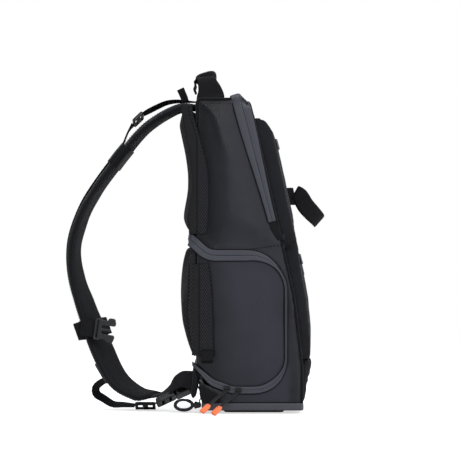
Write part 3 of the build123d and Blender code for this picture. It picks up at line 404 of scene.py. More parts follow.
def mesh_finish(name, colour, pitch, depth=0.0005):
    """Black air mesh with open diamond holes over darker foam, the holes painted darker still as painted shade.
    """
    made = Nodes.material(name)
    uv = surface_uv(made)
    knit = made.use(GROUPS["spacer"], Vector=uv, Pitch=pitch)
    shade = made.use(GROUPS["mottle"], Vector=uv, Size=0.004, Depth=0.5)["Shade"]
    # Holes painted dark: the darker foam, with painted shade down in the holes.
    base = made.mix_colour(knit["Hole"], tint(colour, 1.25), tint(colour, 0.22))
    lit = made.shaded(base, shade)
    made.put(made.shader.inputs["Base Color"], lit)
    made.put(made.shader.inputs["Normal"], made.bump(knit["Height"], depth, 0.9))
    made.put(made.shader.inputs["Roughness"], made.remap(knit["Hole"], 0.0, 1.0, 0.62, 0.95))
    made.shader.inputs["Specular IOR Level"].default_value = 0.2
    return made.material


def webbing_finish(name, colour, rib=0.0016):
    """Ribbed nylon webbing."""
    made = Nodes.material(name)
    uv = surface_uv(made)
    ribs = made.use(GROUPS["ribs"], Vector=uv, Rib=rib)
    shade = made.use(GROUPS["mottle"], Vector=uv, Size=0.006, Depth=0.5)["Shade"]
    # Gaps between the ribs painted darker: painted shade in the grooves.
    base = made.mix_colour(ribs["Gap"], tint(colour, 1.15), tint(colour, 0.5))
    lit = made.shaded(base, shade)
    made.put(made.shader.inputs["Base Color"], lit)
    made.put(made.shader.inputs["Normal"], made.bump(ribs["Height"], 0.00035, 0.8))
    made.put(made.shader.inputs["Roughness"], made.math("MULTIPLY", shade, 0.7))
    made.shader.inputs["Specular IOR Level"].default_value = 0.15
    return made.material


def moulded_finish(name, colour, rough, metallic=0.0, grain=0.0006, depth=0.00003, coat=0.0):
    """Moulded plastic, rubber or plated metal with a fine grain and faint scuffs."""
    made = Nodes.material(name)
    spot = made.node("ShaderNodeTexCoord").outputs["Object"]
    skin = made.use(GROUPS["grain"], Vector=spot, Size=grain)
    shade = made.use(GROUPS["mottle"], Vector=spot, Size=0.012, Depth=0.25)["Shade"]
    base = made.mix_colour(skin["Scuff"], tint(colour, 1.0), tint(colour, 1.25))
    lit = made.shaded(base, shade)
    made.put(made.shader.inputs["Base Color"], lit)
    made.put(made.shader.inputs["Roughness"], made.math("MULTIPLY_ADD", skin["Scuff"], 0.12, rough))
    made.put(made.shader.inputs["Normal"], made.bump(skin["Height"], depth, 0.7))
    made.shader.inputs["Metallic"].default_value = metallic
    made.shader.inputs["Coat Weight"].default_value = coat
    return made.material


def band_finish(name, colour, lines):
    """Coated zip tape: smooth skin with fine lines pressed along it."""
    made = Nodes.material(name)
    uv = surface_uv(made)
    x, _, _ = made.split(uv)
    spot = made.node("ShaderNodeTexCoord").outputs["Object"]
    shade = made.use(GROUPS["mottle"], Vector=spot, Size=0.03, Depth=0.2)["Shade"]
    line = made.math("PINGPONG", made.math("DIVIDE", x, lines), 0.5)
    furrow = made.remap(line, 0.0, 0.09, 1.0, 0.0)
    # Pressed furrows painted darker: painted shade in the grooves.
    base = made.mix_colour(furrow, tint(colour, 1.0), tint(colour, 0.78))
    lit = made.shaded(base, shade)
    made.put(made.shader.inputs["Base Color"], lit)
    skin = made.use(GROUPS["grain"], Vector=spot, Size=0.0005)
    height = made.math("MULTIPLY_ADD", skin["Height"], 0.15, made.math("SUBTRACT", 1.0, furrow))
    made.put(made.shader.inputs["Normal"], made.bump(height, 0.0002, 0.8))
    made.put(made.shader.inputs["Roughness"], made.math("MULTIPLY", shade, 0.42))
    made.shader.inputs["Specular IOR Level"].default_value = 0.4
    return made.material


def braid_finish(name, colour):
    """Fine braid of a pull cord."""
    made = Nodes.material(name)
    x, y, z = made.split(made.node("ShaderNodeTexCoord").outputs["Object"])
    a = made.math("PINGPONG", made.math("MULTIPLY", made.math("ADD", x, z), 900.0), 0.5)
    b = made.math("PINGPONG", made.math("MULTIPLY", made.math("SUBTRACT", y, z), 900.0), 0.5)
    height = made.math("MAXIMUM", a, b)
    # Raised strands painted lighter and hollows darker: painted highlight and painted shade on the braid.
    made.put(
        made.shader.inputs["Base Color"], made.mix_colour(height, tint(colour, 0.6), tint(colour, 1.8))
    )
    made.put(made.shader.inputs["Normal"], made.bump(height, 0.0002, 0.8))
    made.shader.inputs["Roughness"].default_value = 0.7
    return made.material


FINISH = {
    # The shell's finish carries painted shade by place: darker to the rear, up high and on the front strip.
    "shell": woven_finish(
        "coated_shell_cloth", (0.0235, 0.024, 0.0325), 0.00055, 0.6, mottle=0.3, painted_shade=True
    ),
    "dark_shell": woven_finish(
        "pocket_cloth", (0.0115, 0.0118, 0.0155), 0.00055, 0.66, mottle=0.3, specular=0.15
    ),
    "lining": woven_finish(
        "grey_lining", (0.15, 0.155, 0.165), 0.0004, 0.75, 0.1, mottle=0.15, crease=0.0004
    ),
    "binding": woven_finish(
        "edge_binding", (0.0058, 0.0058, 0.0078), 0.0004, 0.62, mottle=0.2, crease=0.0002, specular=0.12
    ),
    "mesh": mesh_finish("air_mesh", (0.019, 0.019, 0.0235), 0.0034),
    "fine_mesh": mesh_finish("fine_air_mesh", (0.018, 0.018, 0.021), 0.0024, 0.0004),
    "band": band_finish("coated_zip_band", (0.044, 0.046, 0.060), 0.0036),
    "trim": band_finish("coated_trim", (0.052, 0.053, 0.064), 0.005),
    "webbing": webbing_finish("black_webbing", (0.0055, 0.0055, 0.0075)),
    "plastic": moulded_finish("black_buckle_plastic", (0.008, 0.008, 0.0105), 0.36, coat=0.05),
    "sheet": moulded_finish("stiffener_plastic", (0.05, 0.05, 0.05), 0.5),
    "foot": moulded_finish("foot_rubber", (0.016, 0.016, 0.02), 0.7, 0.0, 0.0009, 0.00008),
    "slider": moulded_finish("lacquered_slider", (0.012, 0.012, 0.014), 0.32, 0.4),
    "hook": moulded_finish("plated_hook", (0.035, 0.035, 0.042), 0.26, 1.0, 0.0008, 0.00001),
    "cord": braid_finish("braided_cord", (0.009, 0.009, 0.011)),
    "tip": moulded_finish("orange_pull", (1.0, 0.215, 0.075), 0.5, 0.0, 0.0005, 0.00003),
    "thread": woven_finish(
        "black_thread", (0.006, 0.006, 0.008), 0.0003, 0.6, mottle=0.1, crease=0.0001, specular=0.1
    ),
}


# ---- Making pieces ---------------------------------------------------------------------
def box_uv(mesh):
    """UV in metres, laid flat from whichever axis each face looks along."""
    layer = mesh.uv_layers.active or mesh.uv_layers.new(name="UVMap")
    picks = ((1, 2), (0, 2), (1, 0))
    for face in mesh.polygons:
        size = [abs(c) for c in face.normal]
        a, b = picks[size.index(max(size))]
        for loop in face.loop_indices:
            co = mesh.vertices[mesh.loops[loop].vertex_index].co
            layer.data[loop].uv = (co[a], co[b])


def add_piece(mesh, name, finish, body, crease=None, uv=True):
    """Finished mesh as a piece that rides on a body."""
    mesh.name = name
    mesh.shade_smooth()
    if crease:
        mesh.set_sharp_from_angle(angle=math.radians(crease))
    if uv:
        box_uv(mesh)
    if not mesh.materials:
        mesh.materials.append(FINISH[finish])
    piece = bpy.data.objects.new(name, mesh)
    scene.collection.objects.link(piece)
    if body:
        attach(piece, body)
    return piece


def to_mesh(bm, name="shape"):
    mesh = bpy.data.meshes.new(name)
    bm.to_mesh(mesh)
    bm.free()
    return mesh


def evaluated(mesh, *modifiers):
    """The mesh with modifiers applied. Each modifier is (kind, {setting: value})."""
    holder = bpy.data.objects.new("holder", mesh)
    scene.collection.objects.link(holder)
    for kind, settings in modifiers:
        made = holder.modifiers.new(kind, kind)
        for key, value in settings.items():
            setattr(made, key, value)
    graph = bpy.context.evaluated_depsgraph_get()
    result = bpy.data.meshes.new_from_object(holder.evaluated_get(graph))
    bpy.data.objects.remove(holder)
    return result


def node_copy(*nodes):
    """Merged copy of some CAD nodes."""
    bm = bmesh.new()
    for node in nodes:
        bm.from_mesh(frame["nodes"][node].data)
    bmesh.ops.remove_doubles(bm, verts=bm.verts, dist=1e-6)
    mesh = to_mesh(bm)
    mesh.materials.clear()
    return mesh


def relaxed(mesh, times, factor=0.5):
    bm = bmesh.new()
    bm.from_mesh(mesh)
    for _ in range(times):
        bmesh.ops.smooth_vert(
            bm, verts=bm.verts, factor=factor, use_axis_x=True, use_axis_y=True, use_axis_z=True
        )
    bm.to_mesh(mesh)
    bm.free()
    return mesh


def moved(mesh, shift):
    """Every point moved by shift(place, normal)."""
    normals = [v.normal.copy() for v in mesh.vertices]
    for vertex, normal in zip(mesh.vertices, normals):
        vertex.co += shift(vertex.co, normal)
    mesh.update()
    return mesh


def rumpled(mesh, size, depth, seed):
    """Low uneven waves over soft cloth."""
    offset = Vector((seed * 7.3, seed * 3.1, seed * 5.7))
    return moved(mesh, lambda co, n: n * (noise.noise(co / size + offset) * depth))


def remeshed(nodes, voxel, relax=4):
    """Rounded, even mesh over copies of some CAD nodes."""
    mesh = evaluated(node_copy(*nodes), ("REMESH", {"mode": "VOXEL", "voxel_size": voxel}))
    return relaxed(mesh, relax)


def moulded(node, finish, voxel=0.0006, relax=3, swell=0.0, roll=0.0):
    """A CAD node with its edges rounded as moulding or folding leaves them."""
    mesh = remeshed([node], voxel, relax)
    if swell:
        moved(mesh, lambda co, n: n * swell)
    if roll:
        low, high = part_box(node)
        middle = (low + high) / 2
        turn = Matrix.Rotation(math.radians(roll), 4, "X")
        mesh.transform(Matrix.Translation(middle) @ turn @ Matrix.Translation(-middle))
    piece = add_piece(mesh, node + "_formed", finish, frame["nodes"][node]["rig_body"])
    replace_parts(piece, node)
    return piece


# ---- Paths and strips ------------------------------------------------------------------
def smooth_path(stations, step):
    """Evenly spaced stations on a smooth curve through the given ones."""
    points = [list(s) for s in stations]
    first = [2 * a - b for a, b in zip(points[0], points[1])]
    last = [2 * a - b for a, b in zip(points[-1], points[-2])]
    points = [first, *points, last]
    dense = []
    for p0, p1, p2, p3 in zip(points, points[1:], points[2:], points[3:]):
        for part in range(24):
            t = part / 24
            dense.append([
                0.5 * (
                    2 * b + (c - a) * t + (2 * a - 5 * b + 4 * c - d) * t * t + (3 * b - a - 3 * c + d) * t ** 3
                )
                for a, b, c, d in zip(p0, p1, p2, p3)
            ])
    dense.append(points[-2])
    return even_path(dense, step)


def even_path(dense, step):
    """The same line with its stations evenly spaced, about a step apart."""
    runs = [math.dist(a[:3], b[:3]) for a, b in zip(dense, dense[1:])]
    total = sum(runs)
    count = max(2, round(total / step))
    result, index, walked = [], 0, 0.0
    for number in range(count + 1):
        goal = total * number / count
        while index < len(runs) - 1 and walked + runs[index] < goal:
            walked += runs[index]
            index += 1
        share = min(1.0, (goal - walked) / max(runs[index], 1e-9))
        result.append([a + (b - a) * share for a, b in zip(dense[index], dense[index + 1])])
    return result


def rounded_line(corners, step=0.002):
    """Line through corners given as (x, y, z, radius), each turned on an arc."""
    points = [Vector(c[:3]) for c in corners]
    dense = [list(points[0])]
    for before, here, after, corner in zip(points, points[1:], points[2:], corners[1:]):
        radius = corner[3]
        back, on = (before - here).normalized(), (after - here).normalized()
        half_turn = back.angle(on) / 2
        if radius > 0 and half_turn < math.radians(89.5):
            reach = radius / math.tan(half_turn)
            start, end = here + back * reach, here + on * reach
            centre = here + (back + on).normalized() * (radius / math.sin(half_turn))
            for part in range(13):
                spread = (start - centre).lerp(end - centre, part / 12)
                dense.append(list(centre + spread.normalized() * radius))
        else:
            dense.append(list(here))
    dense.append(list(points[-1]))
    return [Vector(p) for p in even_path(dense, step)]


# Sections of the strips: how far squared off flat, how round at the sides, and points round it.
ZIP_BAND_SECTION = (0.22, 0.5, 24)
CLOTH_SECTION = (0.25, 0.9, 20)
WEBBING_SECTION = (0.25, 0.9, 28)


def strip_mesh(places, flat=0.35, round_side=0.8, segments=28, cap=True):
    """Strip through places given as (centre, across, half width, half thickness).

    Its section starts as a circle squared off by flat and round_side, and is carried
    along by extruding its rim. UV is metres across and metres along."""
    runs = []
    for index in range(len(places)):
        before = places[max(index - 1, 0)][0]
        after = places[min(index + 1, len(places) - 1)][0]
        runs.append((after - before).normalized())
    matrices = []
    for (centre, across, wide, thick), run in zip(places, runs):
        across = (across - run * across.dot(run)).normalized()
        normal = across.cross(run)
        matrix = Matrix((across * wide, normal * thick, run)).transposed().to_4x4()
        matrix.translation = centre
        matrices.append(matrix)
    bm = bmesh.new()
    spread = bm.verts.layers.float.new("across")
    length = bm.verts.layers.float.new("along")
    ring = bmesh.ops.create_circle(bm, segments=segments, radius=1.0)["verts"]
    for vert in ring:
        c, s = vert.co.x, vert.co.y
        vert.co.x = math.copysign(abs(c) ** flat, c)
        vert.co.y = math.copysign(abs(s) ** round_side, s)
        vert[spread] = vert.co.x
    base = {vert: vert.co.x for vert in ring}
    for vert in ring:
        vert[spread] = base[vert] * places[0][2]
    bmesh.ops.transform(bm, matrix=matrices[0], verts=ring)
    edges = list(bm.edges)
    first = list(ring)
    walked = 0.0
    for index in range(1, len(places)):
        walked += (places[index][0] - places[index - 1][0]).length
        grown = bmesh.ops.extrude_edge_only(bm, edges=edges)["geom"]
        verts = [g for g in grown if isinstance(g, bmesh.types.BMVert)]
        edges = [
            g for g in grown if isinstance(g, bmesh.types.BMEdge) and all(v in set(verts) for v in g.verts)
        ]
        bmesh.ops.transform(bm, matrix=matrices[index] @ matrices[index - 1].inverted(), verts=verts)
        back = matrices[index].inverted()
        for vert in verts:
            vert[spread] = (back @ vert.co).x * places[index][2]
            vert[length] = walked
    if cap:
        bmesh.ops.contextual_create(bm, geom=first)
        bmesh.ops.contextual_create(bm, geom=verts)
    bmesh.ops.recalc_face_normals(bm, faces=bm.faces)
    uv = bm.loops.layers.uv.new("UVMap")
    for face in bm.faces:
        for loop in face.loops:
            loop[uv].uv = (loop.vert[spread], loop.vert[length])
    return to_mesh(bm)


def rolled_across(run, roll, lead=Vector((0, 1, 0))):
    """Direction across a band: level, then turned about the band's own run."""
    across = (lead - run * run.dot(lead)).normalized()
    return Matrix.Rotation(math.radians(roll), 3, run) @ across


def band_places(stations, step, width, thick):
    """Places for a strip from stations in millimetres, (x, y, z, roll)."""
    line = smooth_path([(x / 1000, y / 1000, z / 1000, roll) for x, y, z, roll in stations], step)
    places = []
    for index, (x, y, z, roll) in enumerate(line):
        before = Vector(line[max(index - 1, 0)][:3])
        after = Vector(line[min(index + 1, len(line) - 1)][:3])
        run = (after - before).normalized()
        places.append((Vector((x, y, z)), rolled_across(run, roll), width / 2, thick / 2))
    return places


def tube(points, radius, name, finish, body, closed=False):
    """Piping or a sewn roll along a line."""
    data = bpy.data.curves.new(name, "CURVE")
    data.dimensions = "3D"
    data.bevel_depth = radius
    data.bevel_resolution = 2
    data.use_fill_caps = True
    lines = points if isinstance(points[0], list) else [points]
    for line in lines:
        spline = data.splines.new("POLY")
        spline.points.add(len(line) - 1)
        for point, co in zip(spline.points, line):
            point.co = (*co, 1)
        spline.use_cyclic_u = closed
    holder = bpy.data.objects.new("holder", data)
    scene.collection.objects.link(holder)
    mesh = bpy.data.meshes.new_from_object(holder)
    bpy.data.objects.remove(holder)
    mesh.materials.clear()
    return add_piece(mesh, name, finish, body)


def stitches(lines, name, body, pitch=0.0034, length=0.0024, thick=0.00055):
    """Rows of thread stitches, each a small bead drawn out along its line."""
    bm = bmesh.new()
    for line in lines:
        line = even_path([list(p) for p in line], pitch)
        for a, b in zip(line, line[1:]):
            a, b = Vector(a), Vector(b)
            run = (b - a).normalized()
            turn = run.to_track_quat("X", "Z").to_matrix().to_4x4()
            size = Matrix.Diagonal((length / 2, thick / 2, thick / 2, 1))
            bmesh.ops.create_icosphere(
                bm, subdivisions=1, radius=1.0, matrix=Matrix.Translation((a + b) / 2) @ turn @ size
            )
    return add_piece(to_mesh(bm), name, "thread", body)


make_camera()
make_studio()


# ---- Pull cords ------------------------------------------------------------------------
def pull_cords(label, start, steps, body, node, tip_node):
    """Two strands of a doubled cord, from a slider's bail into the moulded tip."""
    tip = moulded(tip_node, "tip", 0.0005, 3)
    last = Vector(steps[-1]) - Vector(steps[-2])
    run = last.normalized()
    across = (Vector((1, 0, 0)) - run * run.x).normalized()
    for side, strand in ((-1, "rear"), (1, "front")):
        route = [start + mm(*step) + across * (0.00125 * side) for step in steps]
        data = bpy.data.curves.new(f"{label}_{strand}", "CURVE")
        data.dimensions = "3D"
        data.bevel_depth = 0.0011
        data.bevel_resolution = 3
        data.resolution_u = 10
        spline = data.splines.new("NURBS")
        spline.points.add(len(route) - 1)
        for point, co in zip(spline.points, route):
            point.co = (*co, 1)
        spline.order_u = 3
        spline.use_endpoint_u = True
        cord = bpy.data.objects.new(f"{label}_{strand}", data)
        data.materials.append(FINISH["cord"])
        scene.collection.objects.link(cord)
        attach(cord, body)
        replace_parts(cord, node)


door_steps = [(0, 0, 0), (-7, -10.5, -4.2), (-15.5, -21.5, -10.5), (-24.5, -31.0, -18.5)]
lid_steps = [(0, 0, 0), (0.5, 1.6, -15), (0.8, 1.4, -30.5), (0.2, 0.2, -46)]
pull_cords(
    "door_cord_a", mm(-37.0, -122.4, 35.125 - 2.6), door_steps, "door_pull_a", "door_pull_cord_a",
    "door_pull_tip_a"
)
pull_cords(
    "door_cord_b", mm(-21.5, -122.4, 32.5 - 2.6), door_steps, "door_pull_b", "door_pull_cord_b",
    "door_pull_tip_b"
)
lid_x = 25 - 45 * (290 - 265) / 169
pull_cords(
    "lid_cord", mm(lid_x + 1, 120.6, 290 - 4.9), lid_steps, "lid_pull", "lid_pull_cord",
    "lid_pull_tip"
)


# ---- Case shell ------------------------------------------------------------------------
def inset(x, z, outline):
    """Distance from a place on the side to the nearest edge of an outline, 0 outside it."""
    inside, near = False, 1.0
    for (x0, z0), (x1, z1) in zip(outline, outline[1:] + outline[:1]):
        if (z0 > z) != (z1 > z) and x < (x1 - x0) * (z - z0) / (z1 - z0) + x0:
            inside = not inside
        share = max(
            0.0, min(1.0, ((x - x0) * (x1 - x0) + (z - z0) * (z1 - z0)) / ((x1 - x0) ** 2 + (z1 - z0) ** 2))
        )
        near = min(near, math.hypot(x - x0 - share * (x1 - x0), z - z0 - share * (z1 - z0)))
    return near if inside else 0.0


def crowned(mesh, outlines, rise, reach):
    """Side panels puffed outwards inside each outline, level with their seams at the edge."""
    def shift(co, normal):
        if abs(co.y) < 0.1115 or abs(normal.y) < 0.5:
            return Vector((0, 0, 0))
        deep = max(inset(co.x, co.z, outline) for outline in outlines)
        share = min(1.0, deep / reach)
        return Vector((0, math.copysign(rise * share * share * (3 - 2 * share), co.y), 0))
    return moved(mesh, shift)


upper_side = [
    (-0.064, 0.244), (-0.062, 0.300), (-0.066, 0.345), (-0.079, 0.395), (-0.080, 0.434), (-0.030, 0.434),
    (0.017, 0.262), (0.017, 0.240), (-0.05, 0.232)
]
front_strip = [
    (0.054, 0.010), (0.066, 0.012), (0.066, 0.066), (0.055, 0.160), (0.038, 0.236), (0.027, 0.258),
    (-0.02, 0.236), (0.03, 0.225), (0.052, 0.19)
]
door_side = [
    (-0.055, 0.047), (-0.030, 0.038), (0.0, 0.037), (0.028, 0.046), (0.040, 0.075), (0.040, 0.175),
    (0.026, 0.202), (-0.004, 0.212), (-0.050, 0.212), (-0.060, 0.16)
]


def make_shell():
    mesh = remeshed(
        ["near_side_wall", "far_side_wall", "top_wall", "bottom_wall", "back_wall", "front_wall"], 0.003, 3
    )
    relaxed(crowned(mesh, [upper_side, front_strip], 0.0060, 0.030), 3)
    rumpled(mesh, 0.045, 0.0010, 1)
    rumpled(mesh, 0.016, 0.0004, 2)
    mesh.materials.append(FINISH["shell"])
    mesh.materials.append(FINISH["lining"])
    middle = Vector((-0.01, 0, 0.22))
    for face in mesh.polygons:
        inner = (
            abs(face.center.y) < 0.1115
            and -0.077 < face.center.x < 0.062
            and 0.0095 < face.center.z < 0.4285
        )
        if inner and face.normal.dot(face.center - middle) < 0:
            face.material_index = 1
    shell = add_piece(mesh, "case_shell", "shell", "case")
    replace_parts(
        shell, "near_side_wall", "far_side_wall", "top_wall", "bottom_wall", "back_wall", "front_wall"
    )
    shelf = add_piece(remeshed(["compartment_shelf"], 0.003, 2), "inner_shelf", "lining", "case")
    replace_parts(shelf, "compartment_shelf")
    for node, body in (("padded_divider_low", "divider_low"), ("padded_divider_high", "divider_high")):
        mesh = rumpled(remeshed([node], 0.0025, 4), 0.03, 0.0006, 3)
        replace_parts(add_piece(mesh, node + "_cloth", "lining", body), node)


make_shell()


# ---- Access door -----------------------------------------------------------------------
def make_door():
    mesh = remeshed(["door_panel"], 0.0028, 3)
    relaxed(crowned(mesh, [door_side], 0.0070, 0.036), 5)
    rumpled(mesh, 0.05, 0.0012, 4)
    rumpled(mesh, 0.017, 0.0004, 5)
    mesh.materials.append(FINISH["shell"])
    mesh.materials.append(FINISH["lining"])
    for face in mesh.polygons:
        if face.center.y > -0.1115 and face.center.x > -0.0765:
            face.material_index = 1
    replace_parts(add_piece(mesh, "door_cloth", "shell", "access_door"), "door_panel")


make_door()


def side_normal(co):
    """Way out of the case at a place on the door's zip: -Y on the side, turning to -X on the back."""
    share = max(0.0, min(1.0, (co.y + 0.1135) / 0.012))
    return Vector((-share, share - 1, 0)).normalized()


def door_line():
    side = -0.1159
    return rounded_line([
        (-0.0880, -0.0860, 0.2400, 0), (-0.0880, -0.1150, 0.2400, 0.010), (-0.064, side, 0.2176, 0.030),
        (0.044, side, 0.2176, 0.050),
        (0.044, side, 0.0325, 0.045), (-0.030, side, 0.0325, 0.030), (-0.058, side, 0.043, 0.030),
        (-0.0840, -0.1150, 0.0680, 0.010),
        (-0.0840, -0.0860, 0.0680, 0),
    ], 0.0025)


def ramp(value, low, high):
    share = max(0.0, min(1.0, (value - low) / (high - low)))
    return share * share * (3 - 2 * share)


def door_band_width(co):
    """Half tape's width: broad along the top, rolled nearly out of sight down the front."""
    top = ramp(co.z, 0.195, 0.217) * (1 - 0.6 * ramp(co.x, -0.02, 0.038))
    low = 0.55 * ramp(0.07 - co.z, 0.0, 0.034)
    return 0.0013 + 0.0060 * max(top, low)


def make_door_zip():
    line = door_line()
    case_places, door_places, edges = [], [], {"case": [], "door": []}
    for index, co in enumerate(line):
        run = (line[min(index + 1, len(line) - 1)] - line[max(index - 1, 0)]).normalized()
        out = side_normal(co)
        inward = run.cross(out).normalized()
        wide = door_band_width(co)
        case_places.append((co - inward * (wide / 2 + 0.0001) + out * 0.0005, -inward, wide / 2, 0.0010))
        door_places.append((co + inward * (wide / 2 + 0.0001) + out * 0.0005, inward, wide / 2, 0.0010))
        edges["case"].append(co - inward * (wide + 0.0005) + out * 0.0004)
        edges["door"].append(co + inward * (wide + 0.0005) + out * 0.0004)
    case_band = add_piece(
        strip_mesh(case_places, *ZIP_BAND_SECTION), "door_zip_case_band", "band", "case",
        uv=False
    )
    door_band = add_piece(
        strip_mesh(door_places, *ZIP_BAND_SECTION), "door_zip_door_band", "band", "access_door",
        uv=False
    )
    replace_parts(case_band, "door_zip_tape_case_half")
    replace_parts(door_band, "door_zip_tape_door_half")
    tube(edges["case"], 0.0008, "door_zip_case_piping", "binding", "case")
    tube(edges["door"], 0.0008, "door_zip_door_piping", "binding", "access_door")
    under = [co + side_normal(co) * -0.0012 for co in line]
    tube(under, 0.0011, "door_zip_teeth", "plastic", "case")
    waist = []
    for y in (-0.083, -0.06, -0.02, 0.02, 0.06, 0.1, 0.113):
        waist.append((Vector((-0.0858, y, 0.2400)), Vector((0, 0, 1)), 0.0085, 0.0052))
    add_piece(strip_mesh(waist, 0.5, 0.9, 24), "waist_band", "band", "case", uv=False)
    tube(
        [Vector((-0.0911, y, 0.2400)) for y in (-0.083, 0.113)], 0.0007, "waist_groove", "binding", "case",
    )


make_door_zip()


# ---- Back padding and the mesh at its sides --------------------------------------------
def depth_at(z, low, top, curve):
    share = max(0.0, min(1.0, (z - low) / (top - low)))
    for (s0, d0), (s1, d1) in zip(curve, curve[1:]):
        if share <= s1:
            return (d0 + (d1 - d0) * (share - s0) / (s1 - s0)) / 1000
    return curve[-1][1] / 1000


UPPER_CURVE = [(0.0, 12.5), (0.13, 14.3), (0.3, 9.2), (0.4, 7.8), (0.62, 10.5), (0.84, 18.0), (1.0, 23.0)]
LOWER_CURVE = [(0.0, 6.5), (0.16, 15.0), (0.29, 20.0), (0.42, 22.0), (0.6, 19.0), (0.85, 17.0), (1.0, 15.5)]


def filled(meshes, pressure=4.0, steps=18):
    """Pads swollen by air inside them. Each is (mesh, cap, held): held(co) keeps a place still."""
    holders = []
    for mesh, cap, held in meshes:
        holder = bpy.data.objects.new("pad_filling", mesh)
        scene.collection.objects.link(holder)
        group = holder.vertex_groups.new(name="held")
        group.add([v.index for v in mesh.vertices if held(v.co)], 1.0, "REPLACE")
        cloth = holder.modifiers.new("fill", "CLOTH")
        settings = cloth.settings
        settings.quality = 6
        settings.use_pressure = True
        settings.uniform_pressure_force = pressure
        settings.vertex_group_mass = "held"
        settings.tension_stiffness = settings.compression_stiffness = 25
        settings.bending_stiffness = 2
        settings.effector_weights.gravity = 0
        holders.append((holder, mesh, cap))
    for number in range(1, steps + 1):
        scene.frame_set(number)
    graph = bpy.context.evaluated_depsgraph_get()
    swollen = []
    for holder, mesh, cap in holders:
        shape = holder.evaluated_get(graph).data
        swollen.append([v.co.copy() for v in shape.vertices])
    for (holder, mesh, cap), places in zip(holders, swollen):
        for vertex, place in zip(mesh.vertices, places):
            move = place - vertex.co
            if move.length > cap:
                move = move.normalized() * cap
            vertex.co += move
        mesh.update()
        bpy.data.objects.remove(holder)
    scene.frame_set(1)


def make_pads():
    upper = remeshed(["upper_back_pad"], 0.004, 3)
    lower = remeshed(["lower_back_pad"], 0.004, 3)
    corner = remeshed(["door_corner_pad"], 0.003, 2)
    on_wall = lambda co: co.x > -0.0825
    for mesh in (upper, lower, corner):
        moved(mesh, lambda co, n: n * (-0.0016 if co.x < -0.082 else 0.0))
    filled([(upper, 0.0055, on_wall), (lower, 0.0055, on_wall), (corner, 0.003, on_wall)])
    jobs = (
        (upper, "upper_pad_cushion", "upper_back_pad", "case"),
        (lower, "lower_pad_cushion", "lower_back_pad", "case"),
        (corner, "door_corner_cushion", "door_corner_pad", "access_door"),
    )
    for mesh, name, node, body in jobs:
        relaxed(mesh, 2)
        mesh = evaluated(mesh, ("SUBSURF", {"levels": 1, "render_levels": 1}))
        mesh.materials.clear()
        piece = add_piece(mesh, name, "mesh", body)
        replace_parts(piece, node)


make_pads()

GUSSET_UPPER = [
    (0.424, -0.0860), (0.412, -0.0850), (0.394, -0.0795), (0.367, -0.0715), (0.337, -0.0645),
    (0.304, -0.0620), (0.267, -0.0630), (0.247, -0.0655)
]
GUSSET_LOWER = [(0.206, -0.0622), (0.174, -0.0585), (0.137, -0.0567), (0.100, -0.0558), (0.080, -0.0545)]


def make_gusset(label, body, side, stations, low, top, curve, share, seam_x, rear_y):
    """Mesh strip along the side panel's rear edge, then a plain strip round to the pad."""
    mesh, turned, lines = [], [], [[], [], []]
    for z, right, _ in smooth_path([(z, x, 0.0) for z, x in stations], 0.004):
        left = min(-0.0845, -0.080 - share * depth_at(z, low, top, curve) + 0.004)
        near = Vector((right, side * 0.1158, z))
        seam = Vector((min(seam_x, right - 0.0035), side * 0.1160, z))
        back = Vector((left, side * rear_y, z))
        mesh.append(((near + seam) / 2, (near - seam).normalized(), (near - seam).length / 2, 0.0016))
        turned.append(
            ((seam + back) / 2, (seam - back).normalized(), (seam - back).length / 2 + 0.001, 0.0020)
        )
        out = Vector((0, side, 0))
        for line, spot in zip(lines, (near + out * 0.0004, seam + out * 0.0006, back + out * 0.0012)):
            line.append(spot)
    add_piece(strip_mesh(mesh, 0.4, 0.9, 24), label, "mesh", body, uv=False)
    add_piece(strip_mesh(turned, 0.5, 0.8, 24), label + "_turn", "fine_mesh", body, uv=False)
    tube(lines, 0.0012, label + "_piping", "binding", body)


for way, label in ((-1, "near"), (1, "far")):
    make_gusset(
        f"upper_gusset_{label}", "case", way, GUSSET_UPPER, 0.249, 0.416, UPPER_CURVE, 1.0, -0.0785, 0.1085
    )
make_gusset(
    "lower_gusset_near", "access_door", -1, GUSSET_LOWER, 0.077, 0.231, LOWER_CURVE, 0.75, -0.0755, 0.1085
)
make_gusset("lower_gusset_far", "case", 1, GUSSET_LOWER, 0.077, 0.231, LOWER_CURVE, 0.85, -0.0755, 0.1085)


# ---- Front lid -------------------------------------------------------------------------
lid_side = [(0.034, 0.246), (0.040, 0.238), (-0.004, 0.43), (-0.010, 0.436), (-0.016, 0.434), (0.026, 0.27)]


def make_lid():
    mesh = remeshed(["lid_shell"], 0.003, 4)

    def rounded(co, normal):
        """Top front corner turned on a broad arc."""
        way = Vector((co.x + 0.029, 0, co.z - 0.411))
        if way.x < 0 or way.z < 0 or way.length < 0.026:
            return Vector((0, 0, 0))
        return way.normalized() * (0.026 + (way.length - 0.026) * 0.25 - way.length)
    moved(mesh, rounded)
    crowned(mesh, [lid_side], 0.002, 0.012)
    rumpled(mesh, 0.04, 0.0010, 6)
    mesh.materials.append(FINISH["shell"])
    mesh.materials.append(FINISH["lining"])
    middle = Vector((-0.02, 0, 0.33))
    for face in mesh.polygons:
        if (
            abs(face.center.y) < 0.1105
            and face.normal.dot(face.center - middle) < 0
            and face.center.z < 0.4285
        ):
            face.material_index = 1
    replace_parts(add_piece(mesh, "lid_cloth", "shell", "front_lid"), "lid_shell")


def lid_out(co):
    """Way out of the case at a place on the lid's zip: sideways, turning to up across the top."""
    rise = co.z - 0.4245
    side = abs(co.y) - 0.1045
    if rise <= 0:
        return Vector((0, math.copysign(1, co.y), 0))
    if side <= 0:
        return Vector((0, 0, 1))
    return Vector((0, math.copysign(side, co.y), rise)).normalized()


